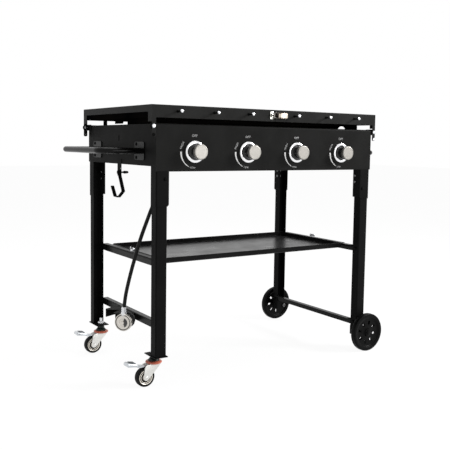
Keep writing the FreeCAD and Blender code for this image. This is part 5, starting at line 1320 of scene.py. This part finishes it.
places = []
for sign in (-1, 1):
    for end in (-1, 1):
        for z in FLANGE_Z:
            places.append(("flange", (sign * FLANGE_X, end * FLANGE_Y, z), (sign, 0, 0)))
        places.append(("web", (sign * WEB_X, end * WEB_Y, WEB_Z[sign]), (0, -end, 0)))
        for z in (TRAY_BAR_Z, CROSS_BAR_Z[sign]):
            places.append(("bar", (sign * BAR_X, end * BAR_Y, z), (sign, 0, 0)))
        places.append(("pivot", (sign * EAR_X, PIVOT_Y[end], PIVOT_Z), (0, -end, 0)))
    for y in SCREW_Y:
        for z in SCREW_Z:
            places.append(("screw", (sign * SCREW_X, y, z), (-sign, 0, 0)))
for number, (kind, place, direction) in enumerate(places, start=1):
    pattern, finish = KINDS[kind]
    bolt = copied(pattern, "%s_bolt_%d" % (kind, number), (0, 0, 0))
    aim = Vector(direction).to_track_quat("Z", "Y").to_matrix().to_4x4()
    swung(bolt, Matrix.Translation(place) @ aim)
    finish_piece(bolt, "stand", "zinc", finish)
    if number == 1:
        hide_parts("frame_bolts")
for pattern, finish in KINDS.values():
    bpy.data.objects.remove(pattern)
print("bolts:", len(places))

# %% [markdown]
# The fixed wheels turn on long bolts that go through the leg, with a smooth black cap outside and a nut
# inside. Two short bolts stand up through the tray's side bars for the wing nuts. They are only four, and
# longer than the others, so each is built for its own place.

# %% Add the axle and tray bolts
CAP_PROFILE = [(0, 0), (0, 9), (2.6, 8.6), (3.6, 6.4), (4, 3), (4, 0)]
AXLE_PROFILE = [(0, 0), (0, 4), (75.6, 4), (76.5, 3.2), (76.5, 0)]
AXLE_FACE, AXLE_NUT = 0.3065, 0.2365
TRAY_BOLT_X, TRAY_BOLT_Z = 0.4155, 0.413
for end, sign in (("front", -1), ("back", 1)):
    face = (WHEEL_X, sign * AXLE_FACE, WHEEL_Z)
    cap = turned("axle_cap", face, (0, sign, 0), CAP_PROFILE, steps=32)
    axle = turned("axle_rod", face, (0, -sign, 0), AXLE_PROFILE, steps=24)
    lying = Matrix.Rotation(sign * math.radians(90), 4, "X")
    inside = Matrix.Translation((WHEEL_X, sign * AXLE_NUT, WHEEL_Z))
    nut = swung(hexagon_nut((0, 0, 0), 6.5 * MM, 8 * MM), inside @ lying)
    axle_bolt = joined([cap, axle, nut], "axle_bolt_" + end)
    axle_bolt.data.materials.clear()
    two_finishes(axle_bolt, dark_zinc, wheel_plastic, lambda c: abs(c.y) > AXLE_FACE + 0.0001)
    finish_piece(axle_bolt, "stand", "zinc")
for number, sign in enumerate((-1, 1), start=1):
    tray_bolt = hex_bolt("tray_bolt_%d" % number, 15.5)
    swung(tray_bolt, Matrix.Translation((sign * TRAY_BOLT_X, 0, TRAY_BOLT_Z)))
    finish_piece(tray_bolt, "stand", "zinc", dark_zinc)
print("axle and tray bolts: 4")

# %% [markdown]
# ## Wing nuts and thumb screw
# The tray is held by a wing nut at each side. Its hub is turned, and its two wings are drawn as rounded
# ears and extruded. The tank hook's thumb screw has the same kind of wings, moulded in black. The real
# wings are cast on the hub. Here they get their bevels as simple plates before they are joined to it, which
# keeps the bevels even.

# %% Model the wing nuts
HUB_PROFILE = [(0, 3.1), (0, 6.5), (1.4, 6.5), (2.2, 5.8), (7.4, 4.8), (8, 4.2), (8, 3.1), (0, 3.1)]
HUB_Z = 0.4165
EAR_THICK = 0.0024
EAR_STEPS = 8


def ear_outline(root, tip, low, high):
    """A rounded ear as pairs: how far it reaches, from root to tip, and its place from low to high."""
    line = [(root, low + (high - low) * 0.25)]
    for index in range(EAR_STEPS + 1):
        angle = math.radians(-100 + 200 * index / EAR_STEPS)
        line.append((root + (tip - root) * (0.55 + 0.45 * math.cos(angle)),
                     (low + high) / 2 + (high - low) / 2 * math.sin(angle)))
    line.append((root, high - (high - low) * 0.3))
    return line


def wings(outline, place_of, thickness, width):
    """Two mirrored ears: place_of turns a signed reach and a place along the ear into a point."""
    ears = []
    for way in (-1, 1):
        points = [place_of(way * reach, along) for reach, along in outline]
        ears.append(bevelled(plate("ear", points, thickness), width))
    return ears


nut_ear = ear_outline(0.0040, 0.0155, 0.4185, 0.4315)
for number, sign in enumerate((-1, 1), start=1):
    x = sign * TRAY_BOLT_X
    hub = turned("hub", (x, 0, HUB_Z), UP, HUB_PROFILE, steps=28)
    ears = wings(nut_ear, lambda y, z: (x - EAR_THICK / 2, y, z), (EAR_THICK, 0, 0), 0.7)
    wing_nut = joined([hub] + ears, "wing_nut_%d" % number)
    finish_piece(wing_nut, "stand", "zinc", zinc_plate)
    if number == 1:
        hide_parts("wing_nuts")
print("wing nuts: 2")

# %% [markdown]
# The thumb screw lies along the hook's pivot. Its flat head is on the outer side, and its grip with the two
# wings is on the inner side, where a hand reaches it from under the box.

# %% Turn the thumb screw
SCREW_START = (-0.474, -0.003, 0.697)
GRIP_EAR_THICK = 0.0036
SCREW_PROFILE = [
    (0, 0), (0, 5.4), (0.6, 6), (3, 6), (3.5, 5.4), (3.5, 3), (24, 3), (24, 4.6), (26, 5), (38, 4.4), (40, 3.4),
    (40, 0),
]
shank = turned("thumb_screw", SCREW_START, (1, 0, 0), SCREW_PROFILE, steps=28)
grip_ear = ear_outline(0.0030, 0.0090, -0.4500, -0.4345)
low = SCREW_START[2] - GRIP_EAR_THICK / 2
ears = wings(grip_ear, lambda y, x: (x, SCREW_START[1] + y, low), (0, 0, GRIP_EAR_THICK), 0.8)
thumb_screw = joined([shank] + ears, "thumb_screw")
finish_piece(thumb_screw, "hook_screw", "black_frame", handwheel_plastic)
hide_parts("hook_screw")
print("thumb screw: %.0f mm" % (thumb_screw.dimensions.x / MM))
